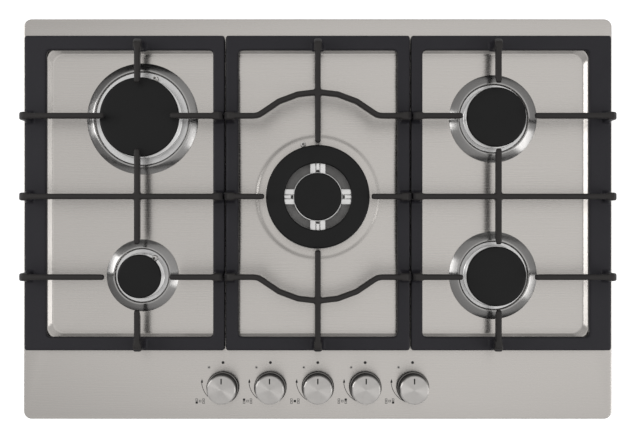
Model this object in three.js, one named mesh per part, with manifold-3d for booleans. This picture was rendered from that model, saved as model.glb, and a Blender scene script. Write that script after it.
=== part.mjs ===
// A built-in gas cooktop with five burners: two on the left, two on the right and a triple-ring burner in
// the middle, with three cast pan supports over them and five knobs along the front.
// Millimetres, +Z up, +X to the right, +Y to the rear. The origin is the centre of the object's base, which
// is the underside of the bottom tray.
import * as THREE from "three";
import { mergeVertices } from "three/addons/utils/BufferGeometryUtils.js";
import Module from "manifold-3d";

const wasm = await Module();
wasm.setup();

// ---- Clearances and sheet -----------------------------------------------------------------------
const SEAT_GAP = 0.3; // between two pieces that seat on one another
const SHEET = 1.2; // thickness of the pressed plate and tray
const THROUGH = 4; // how far a cutting shape runs past the face it cuts

// ---- Top plate ----------------------------------------------------------------------------------
const PLATE_WIDTH = 750;
const PLATE_DEPTH = 510;
const PLATE_CORNER_RADIUS = 10;
const PLATE_EDGE_ROUND = 1.4;
const PLATE_ARC_STEPS = 2;
const WORKTOP_HEIGHT = 52; // worktop surface above the tray's underside
const RIM_HEIGHT = 8; // plate's rim above the worktop
const SKIRT_LIFT = 1; // plate's folded edge above the worktop
const WELL_SIDE_MARGIN = 30; // plate's edge to the well
const WELL_REAR_MARGIN = 38;
const WELL_FRONT_MARGIN = 103;
const WELL_DROP = 5;
const WELL_SLOPE = 6;
const WELL_CORNER_RADIUS = 14;
const STEP_RADIUS = 77.6; // middle of the pressed step round the centre burner
const STEP_WIDTH = 6;
const STEP_RISE = 2;
const SEAL_WIDTH = 10;

// ---- Bottom tray --------------------------------------------------------------------------------
const TRAY_SIDE_MARGIN = 98.5; // plate's edge to the tray
const TRAY_END_MARGIN = 18;
const TRAY_CORNER_RADIUS = 14;
const VENT_LENGTH = 46;
const VENT_WIDTH = 4;
const VENT_PITCH = 14;
const VENT_COUNT = 4;
const VENT_INSET = 56; // middle of a row of vents, inward of the outer burners' axes

// ---- Burners ------------------------------------------------------------------------------------
const BURNER_SIDE_MARGIN = 121; // well's left and right edge to the outer burners' axes
const REAR_ROW_MARGIN = 89; // well's rear edge to the rear burners' axes
const FRONT_ROW_MARGIN = 80; // well's front edge to the front burners' axes
const SMALL_CAP = 27.5; // radius of the small burner's cap, at the front left
const SMALL_BODY = 23;
const SMALL_RING = 46;
const SMALL_RING_HOLE = 34.7;
const SMALL_IGNITER_REACH = 28;
const SMALL_IGNITER_TURN = 53; // degrees
const SMALL_SLOTS = 8;
const MEDIUM_CAP = 37.5; // the two burners on the right
const MEDIUM_BODY = 29.5;
const MEDIUM_RING = 56;
const MEDIUM_RING_HOLE = 44;
const MEDIUM_IGNITER_REACH = 35;
const MEDIUM_IGNITER_TURN = 60;
const MEDIUM_SLOTS = 10;
const LARGE_CAP = 50; // the burner at the rear left
const LARGE_BODY = 44;
const LARGE_RING = 71;
const LARGE_RING_HOLE = 60;
const LARGE_IGNITER_REACH = 53.5;
const LARGE_IGNITER_TURN = 71;
const LARGE_SLOTS = 12;
const CAP_TOP = 22.5; // top of the caps above the plate's rim
const CAP_THICKNESS = 5.6;
const CAP_ROUND = 1.6;
const CAP_DOME = 0.5;
const CAP_BOSS_DEPTH = 2.6;
const CUP_FLANGE_THICKNESS = 3;
const CUP_WALL = 3;
const CUP_FLOOR_HEIGHT = 22; // underside of the burner cup above the tray's underside
const CUP_CHAMBER_DEPTH = 20;
const CUP_SHOULDER = 6;
const CUP_FOOT_INSET = 9;
const RING_RISE = 6.2; // inner edge of a trim ring above the well
const RING_SHEET = 0.8;
const RING_LIP = 2;
const SPREADER_RIM_OUT = 1.5; // rim of the spreader beyond the cap
const SPREADER_RIM_THICKNESS = 3;
const CROWN_IN = 3; // crown of the spreader inside the cap's edge
const CROWN_WALL = 5.5;
const SPREADER_FLOOR = 3;
const SPREADER_THROAT = 9;
const SPREADER_SLEEVE = 12;
const SPREADER_SLEEVE_DEPTH = 9;
const FLAME_SLOT_WIDTH = 2;
const FLAME_SLOT_DEPTH = 7;

// ---- Centre burner ------------------------------------------------------------------------------
const WOK_CAP_OUTER = 65;
const WOK_CAP_INNER = 42;
const WOK_INNER_CAP = 30;
const WOK_BODY = 56;
const WOK_WALL = 3.5;
const WOK_LIP_WIDTH = 3;
const WOK_CROWN_IN = 3; // outer crown inside the ring cap's edge, and the inner wall inside its hole
const WOK_BITE = 1; // how far the bridges run into the walls they join
const WOK_BRIDGE_WIDTH = 19;
const WOK_BRIDGE_SLOT = 3.4;
const WOK_BRIDGE_SLOT_DEPTH = 6;
const WOK_OUTER_SLOTS = 16;
const WOK_INNER_SLOTS = 8;
const WOK_HUB_RIM = 1.5; // rim of the hub beyond the inner cap, below the flame slots
const WOK_HUB_RIM_THICKNESS = 2.4;
const WOK_IGNITER_REACH = 69.5;
const WOK_IGNITER_TURN = 105.5;

// ---- Igniters -----------------------------------------------------------------------------------
const IGNITER_RADIUS = 3;
const IGNITER_TIP_RADIUS = 1.1;
const IGNITER_COLLAR_RADIUS = 4.6;
const IGNITER_COLLAR_HEIGHT = 3;
const IGNITER_TOP = 9; // top of the ceramic above the plate's rim
const IGNITER_TIP_LENGTH = 2.5;
const IGNITER_TAIL = 16; // below the collar
const IGNITER_CLEARANCE = 0.5;

// ---- Pan supports -------------------------------------------------------------------------------
const SIDE_OVERHANG = 2; // outer bar's inner edge over the well's slope
const REAR_OVERHANG = 3.5;
const FRONT_OVERHANG = 3;
const OUTER_BAR = 27.5;
const REAR_BAR = 18.2;
const FRONT_BAR = 17;
const INNER_BAR = 14.4; // side grates, at the seams
const CENTRE_BAR = 15.7; // centre grate, at the seams
const SEAM_SHIFT = 5; // seam between two grates, outward of the middle between the burners' axes
const SEAM_GAP = 1.7;
const FRAME_LIFT = 3.5; // frame's underside above the rim
const FRAME_HEIGHT = 10;
const FRAME_CHAMFER = 1.2;
const FRAME_OUTER_RADIUS = 2.4;
const FRAME_INNER_RADIUS = 4.5;
const FOOT_RADIUS = 4;
const FOOT_INSET = 8.5; // foot's centre from the frame's front or rear edge
const FINGER_TOP = 40; // finger tops above the rim
const FINGER_HEIGHT = 12;
const FINGER_WIDTH = 7;
const FINGER_CHAMFER = 1.2;
const FINGER_SHOULDER = 5; // rounding of a finger's outer top corner
const FINGER_TIP_GAP = 40; // finger tips from the axis of a burner
const RIGHT_TIP_GAP = 44; // horizontal finger tips of the right grate
const WOK_TIP_GAP = 66; // finger tips from the axis of the centre burner
const TIP_DROP = 4; // slope of a finger's tip
const POST_LENGTH = 12; // finger's post along the finger
const POST_WIDTH = 10; // and across it
const ROOT_WIDTH = 16; // root of a post across the finger
const ROOT_REACH = 1; // root beyond the post, along the finger
const ROOT_HEIGHT = 6;
const ROOT_TAPER = 3.2;
const REAR_POST_INSET = 7.8;
const FRONT_POST_INSET = 1.5;
const BOW_RISE = 29.5; // outward bulge of a bowed bar
const BOW_RADIUS = 105;
const BOW_FILLET = 16; // rounding between the bow and its straight ends
const BOW_STATIONS = 3; // stations along half of the bow
const BOW_FILLET_STATIONS = 2;

// ---- Knobs and taps -----------------------------------------------------------------------------
const KNOB_COUNT = 5;
const KNOB_PITCH = 60.4;
const KNOB_ROW_MARGIN = 23; // tray's front edge to the knobs' axes
const KNOB_LIFT = 5.5; // knob's underside above the panel, more than its travel
const KNOB_FACE = 26; // knob's face above the panel
const KNOB_FACE_RADIUS = 17;
const KNOB_RADIUS = 18.2;
const KNOB_SKIRT_RADIUS = 20.6;
const KNOB_SKIRT_HEIGHT = 4; // flare at the knob's lower edge
const KNOB_WALL = 2.6;
const KNOB_TOP_WALL = 3;
const KNOB_HUB_RADIUS = 7.5;
const POINTER_LENGTH = 8;
const POINTER_WIDTH = 1.2;
const POINTER_DEPTH = 0.4;
const POINTER_INNER = 7.3;
const SPINDLE_RADIUS = 4;
const SPINDLE_FLAT = 2.6; // flat of the D-shaped spindle from its axis
const SPINDLE_HOLE_RADIUS = 6;
const SPINDLE_IN_PLUG = 10;
const SPINDLE_TRAVEL_ROOM = 6; // free depth below the spindle in the plug
const PLUG_RADIUS = 9;
const PLUG_HEIGHT = 24;
const PLUG_TAPER = 1.2;
const TAP_WIDTH = 27;
const TAP_DEPTH = 34;
const TAP_HEIGHT = 31;
const TAP_NECK_RADIUS = 11;
const TAP_COVER = 3;
const TAP_OUTLET_HEIGHT = 20; // outlet's axis above the tap's underside
const TAP_OUTLET_RADIUS = 6.5;
const TAP_OUTLET_LENGTH = 6;

// ---- Gas pipes, inlet, ignition -----------------------------------------------------------------
const RAIL_RADIUS = 8;
const RAIL_HEIGHT = 15.5; // rail's axis above the tray's underside
const RAIL_OVERRUN = 17.2; // beyond the first tap's axis
const RAIL_SIDE_MARGIN = 20.5; // tray's side to the rail's axis
const RAIL_BEND = 24;
const INLET_RADIUS = 10.5;
const INLET_BORE = 7;
const INLET_LENGTH = 52;
const INLET_REACH = 14; // inlet's end behind the tray
const INLET_NUT = 13.5;
const INLET_NUT_LENGTH = 14;
const FEED_RADIUS = 4;
const FEED_BEND = 14;
const FEED_DETOUR_X = 100; // where a rear feed pipe passes the centre burner
const FEED_TURN_MARGIN = 17; // well's front edge to the turn of a rear feed pipe
const BEND_STEPS = 3;
const SPARK_WIDTH = 70;
const SPARK_DEPTH = 42;
const SPARK_HEIGHT = 26;
const SPARK_SIDE_MARGIN = 166.5; // tray's side to the middle of the spark generator
const SPARK_REAR_MARGIN = 41;
const SPARK_TERMINAL = 4;
const SPARK_TERMINAL_HEIGHT = 7;
const SPARK_TERMINAL_PITCH = 12;
const GLAND_SIDE_MARGIN = 86.5; // tray's side to the gland
const GLAND_HEIGHT = 30;
const GLAND_RADIUS = 7;
const GLAND_FLANGE = 10;
const GLAND_BORE = 3.5;
const GLAND_LENGTH = 9;
const GLAND_CHAMFER = 1;

// ---- Rounds -------------------------------------------------------------------------------------
const FINE_SIDES = 16;
const MEDIUM_SIDES = 12;
const COARSE_SIDES = 8;
const SMALL_SIDES = 6;
const ARC_STEPS = 1; // two facets for each quarter round

// ---- Heights and places that follow from the sizes above ----------------------------------------
const rimZ = WORKTOP_HEIGHT + RIM_HEIGHT;
const rimUnderZ = rimZ - SHEET;
const wellZ = rimZ - WELL_DROP;
const wellUnderZ = wellZ - SHEET;
const capTopZ = rimZ + CAP_TOP;
const capUnderZ = capTopZ - CAP_THICKNESS;
const crownTopZ = capUnderZ - SEAT_GAP;
const cupTopZ = wellZ + SEAT_GAP + CUP_FLANGE_THICKNESS;
const spreaderZ = cupTopZ + SEAT_GAP;
const stepTopZ = wellZ + STEP_RISE;
const frameZ = rimZ + FRAME_LIFT;
const frameTopZ = frameZ + FRAME_HEIGHT;
const fingerTopZ = rimZ + FINGER_TOP;
const fingerUnderZ = fingerTopZ - FINGER_HEIGHT;
const tapZ = RAIL_HEIGHT + RAIL_RADIUS + SEAT_GAP;
const tapTopZ = tapZ + TAP_HEIGHT;
const feedZ = tapZ + TAP_OUTLET_HEIGHT;
const plugZ = tapTopZ - TAP_COVER - SEAT_GAP - PLUG_HEIGHT;

const wellWidth = PLATE_WIDTH - 2 * WELL_SIDE_MARGIN;
const wellRearY = PLATE_DEPTH / 2 - WELL_REAR_MARGIN;
const wellFrontY = WELL_FRONT_MARGIN - PLATE_DEPTH / 2;
const trayWidth = PLATE_WIDTH - 2 * TRAY_SIDE_MARGIN;
const trayDepth = PLATE_DEPTH - 2 * TRAY_END_MARGIN;
const burnerX = wellWidth / 2 - BURNER_SIDE_MARGIN;
const rearRowY = wellRearY - REAR_ROW_MARGIN;
const frontRowY = wellFrontY + FRONT_ROW_MARGIN;
const centreY = (rearRowY + frontRowY) / 2;
const seamX = burnerX / 2 + SEAM_SHIFT;
const knobRowY = KNOB_ROW_MARGIN - trayDepth / 2;
const railSideX = trayWidth / 2 - RAIL_SIDE_MARGIN;
const inletEndY = trayDepth / 2 + INLET_REACH;
const glandX = GLAND_SIDE_MARGIN - trayWidth / 2;

const BURNER_SMALL = {
  cap: SMALL_CAP,
  body: SMALL_BODY,
  ringOuter: SMALL_RING,
  ringInner: SMALL_RING_HOLE,
  igniter: [SMALL_IGNITER_REACH, SMALL_IGNITER_TURN],
  slots: SMALL_SLOTS,
};
const BURNER_MEDIUM = {
  cap: MEDIUM_CAP,
  body: MEDIUM_BODY,
  ringOuter: MEDIUM_RING,
  ringInner: MEDIUM_RING_HOLE,
  igniter: [MEDIUM_IGNITER_REACH, MEDIUM_IGNITER_TURN],
  slots: MEDIUM_SLOTS,
};
const BURNER_LARGE = {
  cap: LARGE_CAP,
  body: LARGE_BODY,
  ringOuter: LARGE_RING,
  ringInner: LARGE_RING_HOLE,
  igniter: [LARGE_IGNITER_REACH, LARGE_IGNITER_TURN],
  slots: LARGE_SLOTS,
};
const WOK_IGNITER = [WOK_IGNITER_REACH, WOK_IGNITER_TURN];
const BURNERS = [
  { name: "front_left", x: -burnerX, y: frontRowY, size: BURNER_SMALL },
  { name: "rear_left", x: -burnerX, y: rearRowY, size: BURNER_LARGE },
  { name: "rear_right", x: burnerX, y: rearRowY, size: BURNER_MEDIUM },
  { name: "front_right", x: burnerX, y: frontRowY, size: BURNER_MEDIUM },
];
const TAP_NAMES = ["front_left", "rear_left", "centre", "rear_right", "front_right"];

// ---- Materials ----------------------------------------------------------------------------------
const finish = (color, roughness, metalness) => {
  return new THREE.MeshStandardMaterial({ color, roughness, metalness });
};
const MATERIALS = {
  brushedSteel: () => finish(0xb8b4b0, 0.35, 1),
  galvanised: () => finish(0x9a9c9e, 0.5, 1),
  castIron: () => finish(0x2b2b2d, 0.6, 0.1),
  enamel: () => finish(0x262626, 0.45, 0),
  castAluminium: () => finish(0xa3a29f, 0.5, 1),
  polishedSteel: () => finish(0xd2cfcb, 0.18, 1),
  ceramic: () => finish(0xf0ede6, 0.3, 0),
  brass: () => finish(0xb89a54, 0.35, 1),
  plastic: () => finish(0x1c1c1e, 0.5, 0),
  rubber: () => finish(0x222224, 0.9, 0),
};

// ---- Solids -------------------------------------------------------------------------------------

// A closed geometry as a solid that can be joined and cut.
function solidOf(geometry) {
  if (geometry instanceof wasm.Manifold) return geometry;
  const bare = new THREE.BufferGeometry();
  bare.setAttribute("position", geometry.getAttribute("position"));
  bare.setIndex(geometry.getIndex());
  const merged = mergeVertices(bare, 1e-4);
  const index = merged.getIndex().array;
  const triangles = [];
  for (let i = 0; i < index.length; i += 3) {
    const [a, b, c] = index.slice(i, i + 3);
    if (a !== b && b !== c && c !== a) triangles.push(a, b, c);
  }
  const vertProperties = merged.getAttribute("position").array;
  const triVerts = new Uint32Array(triangles);
  return new wasm.Manifold(new wasm.Mesh({ numProp: 3, vertProperties, triVerts }));
}

function join(...pieces) {
  return pieces.map(solidOf).reduce((whole, piece) => whole.add(piece));
}

function cut(body, ...tools) {
  return tools.map(solidOf).reduce((rest, tool) => rest.subtract(tool), solidOf(body));
}

// A named mesh of a solid or a geometry, placed in the group it is added to.
function mesh(name, body, material, position = [0, 0, 0], turn = 0) {
  const { numProp, vertProperties, triVerts } = solidOf(body).getMesh();
  const geometry = new THREE.BufferGeometry();
  geometry.setAttribute("position", new THREE.BufferAttribute(vertProperties, numProp));
  geometry.setIndex(new THREE.BufferAttribute(triVerts, 1));
  geometry.computeVertexNormals();
  const made = new THREE.Mesh(geometry, material());
  made.name = name;
  made.position.set(...position);
  made.rotation.z = turn;
  return made;
}

// A profile of [radius, height] pairs turned about the Z axis.
function turned(profile, sides) {
  const points = profile.map(([radius, height]) => new THREE.Vector2(radius, height));
  if (THREE.ShapeUtils.area(points) < 0) points.reverse();
  if (points.some((point) => point.x === 0)) {
    while (points[0].x !== 0 || points[points.length - 1].x !== 0) points.push(points.shift());
  } else {
    points.push(points[0].clone());
  }
  return new THREE.LatheGeometry(points, sides).rotateX(Math.PI / 2);
}

function cylinder(radius, bottom, top, sides) {
  return turned([[0, bottom], [radius, bottom], [radius, top], [0, top]], sides);
}

function box(x0, x1, y0, y1, z0, z1) {
  const geometry = new THREE.BoxGeometry(x1 - x0, y1 - y0, z1 - z0);
  return geometry.translate((x0 + x1) / 2, (y0 + y1) / 2, (z0 + z1) / 2);
}

// A rounded rectangle as a shape, or as a hole when a path is given.
function roundedRectangle(x0, x1, y0, y1, radius, outline = new THREE.Shape()) {
  outline.moveTo(x0 + radius, y0);
  outline.lineTo(x1 - radius, y0);
  outline.absarc(x1 - radius, y0 + radius, radius, -Math.PI / 2, 0);
  outline.lineTo(x1, y1 - radius);
  outline.absarc(x1 - radius, y1 - radius, radius, 0, Math.PI / 2);
  outline.lineTo(x0 + radius, y1);
  outline.absarc(x0 + radius, y1 - radius, radius, Math.PI / 2, Math.PI);
  outline.lineTo(x0, y0 + radius);
  outline.absarc(x0 + radius, y0 + radius, radius, Math.PI, 1.5 * Math.PI);
  return outline;
}

// A shape extruded from bottom to top, its edges drawn in by slope over a height of fall.
function prism(shape, bottom, top, slope = 0, fall = slope, steps = 1, arcSteps = ARC_STEPS) {
  const geometry = new THREE.ExtrudeGeometry(shape, {
    depth: top - bottom - 2 * fall,
    bevelEnabled: slope > 0,
    bevelThickness: fall,
    bevelSize: slope,
    bevelOffset: -slope,
    bevelSegments: steps,
    curveSegments: arcSteps,
  });
  return geometry.translate(0, 0, bottom + fall);
}

// A round tube along corner points, each inner corner bent at the given radius.
function bentTube(corners, radius, bend) {
  const points = corners.map((corner) => new THREE.Vector3(...corner));
  const stations = [points[0]];
  for (let i = 1; i < points.length - 1; i++) {
    const before = points[i].clone().sub(points[i - 1]).normalize();
    const after = points[i + 1].clone().sub(points[i]).normalize();
    const reach = bend * Math.tan(before.angleTo(after) / 2);
    const start = points[i].clone().addScaledVector(before, -reach);
    const end = points[i].clone().addScaledVector(after, reach);
    const arc = new THREE.QuadraticBezierCurve3(start, points[i], end);
    stations.push(...arc.getPoints(BEND_STEPS));
  }
  stations.push(points[points.length - 1]);
  const section = [];
  for (let side = 0; side < SMALL_SIDES; side++) {
    const angle = ((side + 0.5) * 2 * Math.PI) / SMALL_SIDES;
    section.push([Math.cos(angle) * radius, Math.sin(angle) * radius]);
  }
  const positions = [];
  const up = new THREE.Vector3(0, 0, 1);
  stations.forEach((station, i) => {
    const ahead = (stations[i + 1] ?? station).clone();
    const along = ahead.sub(stations[i - 1] ?? station).normalize();
    const across = along.clone().cross(up).normalize();
    for (const [a, b] of section) {
      const point = station.clone().addScaledVector(across, a).addScaledVector(up, b);
      positions.push(point.x, point.y, point.z);
    }
  });
  const index = [];
  const last = (stations.length - 1) * SMALL_SIDES;
  for (let ring = 0; ring < last; ring += SMALL_SIDES) {
    for (let side = 0; side < SMALL_SIDES; side++) {
      const a = ring + side;
      const b = ring + ((side + 1) % SMALL_SIDES);
      index.push(a, a + SMALL_SIDES, b, b, a + SMALL_SIDES, b + SMALL_SIDES);
    }
  }
  for (let side = 1; side < SMALL_SIDES - 1; side++) {
    index.push(0, side, side + 1, last, last + side + 1, last + side);
  }
  const geometry = new THREE.BufferGeometry();
  geometry.setAttribute("position", new THREE.Float32BufferAttribute(positions, 3));
  return geometry.setIndex(index);
}

// One cutting bar for each of count slots, spread round the Z axis from half a step beyond the X axis.
function slotCutters(count, inner, outer, width, bottom, top) {
  const cutters = [];
  for (let i = 0; i < count; i++) {
    const bar = box(inner, outer, -width / 2, width / 2, bottom, top);
    cutters.push(bar.rotateZ(((i + 0.5) * 2 * Math.PI) / count));
  }
  return cutters;
}

// The radius of the circle inside a faceted round, which is what fits into it.
const inscribed = (radius, sides) => radius * Math.cos(Math.PI / sides);

// The radius of the faceted round that has room for a circle, such as a piece that turns in it.
const circumscribed = (radius, sides) => radius / Math.cos(Math.PI / sides);

const polar = ([radius, degrees]) => {
  const angle = THREE.MathUtils.degToRad(degrees);
  return [radius * Math.cos(angle), radius * Math.sin(angle)];
};

// ---- Top plate, seal and tray -------------------------------------------------------------------

function centredRectangle(width, depth, inset, radius) {
  const [x, y] = [width / 2 - inset, depth / 2 - inset];
  return roundedRectangle(-x, x, -y, y, radius);
}

function wellOutline(inset) {
  const x = wellWidth / 2 - inset;
  return roundedRectangle(-x, x, wellFrontY + inset, wellRearY - inset, WELL_CORNER_RADIUS);
}

function topPlate() {
  const outline = centredRectangle(PLATE_WIDTH, PLATE_DEPTH, 0, PLATE_CORNER_RADIUS);
  const inner = centredRectangle(PLATE_WIDTH, PLATE_DEPTH, SHEET, PLATE_CORNER_RADIUS - SHEET);
  const skirtZ = WORKTOP_HEIGHT + SKIRT_LIFT;
  const round = PLATE_EDGE_ROUND;
  const block = prism(outline, skirtZ - THROUGH, rimZ, round, round, 1, PLATE_ARC_STEPS);
  const hollow = prism(inner, skirtZ - 2 * THROUGH, rimUnderZ, 0, 0, 1, PLATE_ARC_STEPS);
  const [wide, deep] = [PLATE_WIDTH, PLATE_DEPTH];
  const trim = box(-wide, wide, -deep, deep, skirtZ - 2 * THROUGH, skirtZ);
  const wellShape = (inset, low, high) => prism(wellOutline(inset), low, high, WELL_SLOPE, WELL_DROP, 2);
  const wellUnder = wellShape(-SHEET, wellUnderZ, wellUnderZ + 2 * WELL_DROP);
  const aboveRim = box(-wide, wide, -deep, deep, rimZ, rimZ + 3 * WELL_DROP);
  const well = wellShape(0, wellZ, wellZ + 4 * WELL_DROP);
  const sheet = cut(join(cut(block, hollow, trim), cut(wellUnder, aboveRim)), well);
  return cut(pressedStep(sheet), ...plateHoles());
}

// The shallow raised disc round the centre burner, pressed from the same sheet.
function pressedStep(sheet) {
  const [low, high] = [STEP_RADIUS + STEP_WIDTH / 2, STEP_RADIUS - STEP_WIDTH / 2];
  const disc = (z) => {
    const profile = [[0, z - STEP_RISE], [low, z - STEP_RISE], [high, z], [0, z]];
    return turned(profile, FINE_SIDES).translate(0, centreY, 0);
  };
  const recess = [[0, wellUnderZ - THROUGH], [low, wellUnderZ - THROUGH], [low, wellUnderZ]];
  recess.push([high, wellUnderZ + STEP_RISE], [0, wellUnderZ + STEP_RISE]);
  const under = turned(recess, FINE_SIDES).translate(0, centreY, 0);
  return cut(join(sheet, disc(stepTopZ)), under);
}

function plateHoles() {
  const holes = [];
  const hole = (x, y, radius, sides) => {
    holes.push(cylinder(radius, wellUnderZ - THROUGH, rimZ + THROUGH, sides).translate(x, y, 0));
  };
  const igniterHole = IGNITER_RADIUS + IGNITER_CLEARANCE;
  for (const { x, y, size } of BURNERS) {
    const [dx, dy] = polar(size.igniter);
    hole(x, y, size.body + 2 * SEAT_GAP, MEDIUM_SIDES);
    hole(x + dx, y + dy, igniterHole, SMALL_SIDES);
  }
  const [wokX, wokY] = polar(WOK_IGNITER);
  hole(0, centreY, WOK_BODY + 2 * SEAT_GAP, FINE_SIDES);
  hole(wokX, centreY + wokY, igniterHole, SMALL_SIDES);
  for (const x of knobPositions()) hole(x, knobRowY, SPINDLE_HOLE_RADIUS, COARSE_SIDES);
  return holes;
}

function knobPositions() {
  return Array.from({ length: KNOB_COUNT }, (_, i) => (i - (KNOB_COUNT - 1) / 2) * KNOB_PITCH);
}

function foamSeal() {
  const inset = SHEET + SEAT_GAP;
  const outline = centredRectangle(PLATE_WIDTH, PLATE_DEPTH, inset, PLATE_CORNER_RADIUS - inset);
  const inner = inset + SEAL_WIDTH;
  const [x, y] = [PLATE_WIDTH / 2 - inner, PLATE_DEPTH / 2 - inner];
  outline.holes.push(roundedRectangle(-x, x, -y, y, SHEET, new THREE.Path()));
  return prism(outline, WORKTOP_HEIGHT, rimUnderZ - SEAT_GAP);
}

function bottomTray() {
  const outline = centredRectangle(trayWidth, trayDepth, 0, TRAY_CORNER_RADIUS);
  const inner = centredRectangle(trayWidth, trayDepth, SHEET, TRAY_CORNER_RADIUS - SHEET);
  const block = prism(outline, 0, rimUnderZ - SEAT_GAP);
  const hollow = prism(inner, SHEET, rimZ + THROUGH);
  const wallTop = wellUnderZ - SEAT_GAP;
  const front = wellFrontY - SHEET - SEAT_GAP;
  const rear = wellRearY + SHEET + SEAT_GAP;
  const notch = box(-trayWidth, trayWidth, front, rear, wallTop, rimZ + THROUGH);
  const shell = cut(block, hollow, notch, ...trayVents());
  const rearWall = (radius, x, height, sides) => {
    const tool = cylinder(radius, -THROUGH, THROUGH + SHEET, sides).rotateX(Math.PI / 2);
    return tool.translate(x, trayDepth / 2 + THROUGH / 2, height);
  };
  const inletHole = rearWall(INLET_RADIUS + SEAT_GAP, railSideX, RAIL_HEIGHT, MEDIUM_SIDES);
  const glandHole = rearWall(GLAND_RADIUS + SEAT_GAP, glandX, GLAND_HEIGHT, COARSE_SIDES);
  return cut(shell, inletHole, glandHole);
}

// Two rows of cooling slots through the floor of the tray.
function trayVents() {
  const vents = [];
  for (const side of [-1, 1]) {
    for (let i = 0; i < VENT_COUNT; i++) {
      const y = centreY + (i - (VENT_COUNT - 1) / 2) * VENT_PITCH;
      const x = side * (burnerX - VENT_INSET);
      vents.push(box(x - VENT_LENGTH / 2, x + VENT_LENGTH / 2, y, y + VENT_WIDTH, -THROUGH, THROUGH));
    }
  }
  return vents;
}

// ---- Burners ------------------------------------------------------------------------------------

// A cup with a flange that seats on the plate at seatZ, and a chamber that is open to the top.
function burnerCup(body, flange, seatZ, igniter, sides) {
  const top = seatZ + CUP_FLANGE_THICKNESS;
  const bottom = CUP_FLOOR_HEIGHT;
  const chamberZ = top - CUP_CHAMBER_DEPTH;
  const foot = body - CUP_FOOT_INSET;
  const profile = [[0, bottom], [foot, bottom], [body, bottom + CUP_SHOULDER], [body, seatZ]];
  const wall = body - CUP_WALL;
  profile.push([flange, seatZ], [flange, top], [wall, top], [wall, chamberZ], [0, chamberZ]);
  const [dx, dy] = polar(igniter);
  const hole = cylinder(IGNITER_RADIUS + IGNITER_CLEARANCE, seatZ - THROUGH, top + THROUGH, SMALL_SIDES);
  return cut(turned(profile, sides), hole.translate(dx, dy, 0));
}

// The burner head: a rim, a slotted crown that the cap closes, and a sleeve down into the cup.
function flameSpreader({ cap, igniter, slots }) {
  const [rim, crown] = [cap + SPREADER_RIM_OUT, cap - CROWN_IN];
  const rimTop = spreaderZ + SPREADER_RIM_THICKNESS;
  const floorTop = spreaderZ + SPREADER_FLOOR;
  const inner = crown - CROWN_WALL;
  const sleeveZ = spreaderZ - SPREADER_SLEEVE_DEPTH;
  const outside = [[SPREADER_THROAT, sleeveZ], [SPREADER_SLEEVE, sleeveZ], [SPREADER_SLEEVE, spreaderZ]];
  outside.push([rim, spreaderZ], [rim, rimTop - 1], [crown, rimTop + 1]);
  const inside = [[crown, crownTopZ], [inner, crownTopZ], [inner, floorTop], [SPREADER_THROAT, floorTop]];
  const body = turned([...outside, ...inside], MEDIUM_SIDES);
  const slotZ = crownTopZ - FLAME_SLOT_DEPTH;
  const bars = slotCutters(slots, inner - 2, crown + 2, FLAME_SLOT_WIDTH, slotZ, crownTopZ + THROUGH);
  const [reach, turn] = igniter;
  const half = IGNITER_RADIUS + 2 * IGNITER_CLEARANCE;
  const notch = box(reach - half, rim + THROUGH, -half, half, sleeveZ, crownTopZ + THROUGH);
  return cut(body, ...bars, notch.rotateZ(THREE.MathUtils.degToRad(turn)));
}

// A slightly domed enamelled disc with a locating boss below.
function burnerCap(radius, bossRadius) {
  const bossZ = capUnderZ - CAP_BOSS_DEPTH;
  const edgeZ = capTopZ - CAP_DOME;
  const profile = [[0, bossZ], [bossRadius, bossZ], [bossRadius, capUnderZ], [radius, capUnderZ]];
  profile.push([radius, edgeZ - CAP_ROUND], [radius - CAP_ROUND, edgeZ], [0, capTopZ]);
  return turned(profile, FINE_SIDES);
}

function trimRing({ ringOuter, ringInner }) {
  const low = wellZ + SEAT_GAP;
  const high = wellZ + RING_RISE;
  const profile = [[ringOuter, low], [ringOuter, low + RING_SHEET], [ringInner + RING_LIP, high]];
  profile.push([ringInner, high], [ringInner, high - RING_SHEET], [ringInner + RING_LIP, high - RING_SHEET]);
  return turned(profile, FINE_SIDES);
}

// An igniter whose collar seats under the plate at the height of underZ.
function igniter(underZ) {
  const collarTop = underZ - SEAT_GAP;
  const collarZ = collarTop - IGNITER_COLLAR_HEIGHT;
  const top = rimZ + IGNITER_TOP;
  const tipZ = top + IGNITER_TIP_LENGTH;
  const tailZ = collarZ - IGNITER_TAIL;
  const [pin, collar, tip] = [IGNITER_RADIUS, IGNITER_COLLAR_RADIUS, IGNITER_TIP_RADIUS];
  const profile = [[0, tailZ], [pin, tailZ], [pin, collarZ], [collar, collarZ], [collar, collarTop]];
  profile.push([pin, collarTop], [pin, top], [tip, top], [tip, tipZ], [0, tipZ]);
  return turned(profile, SMALL_SIDES);
}

// ---- Centre burner ------------------------------------------------------------------------------

const wokSeatZ = stepTopZ + SEAT_GAP;
const wokHeadZ = wokSeatZ + CUP_FLANGE_THICKNESS + SEAT_GAP;

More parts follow.
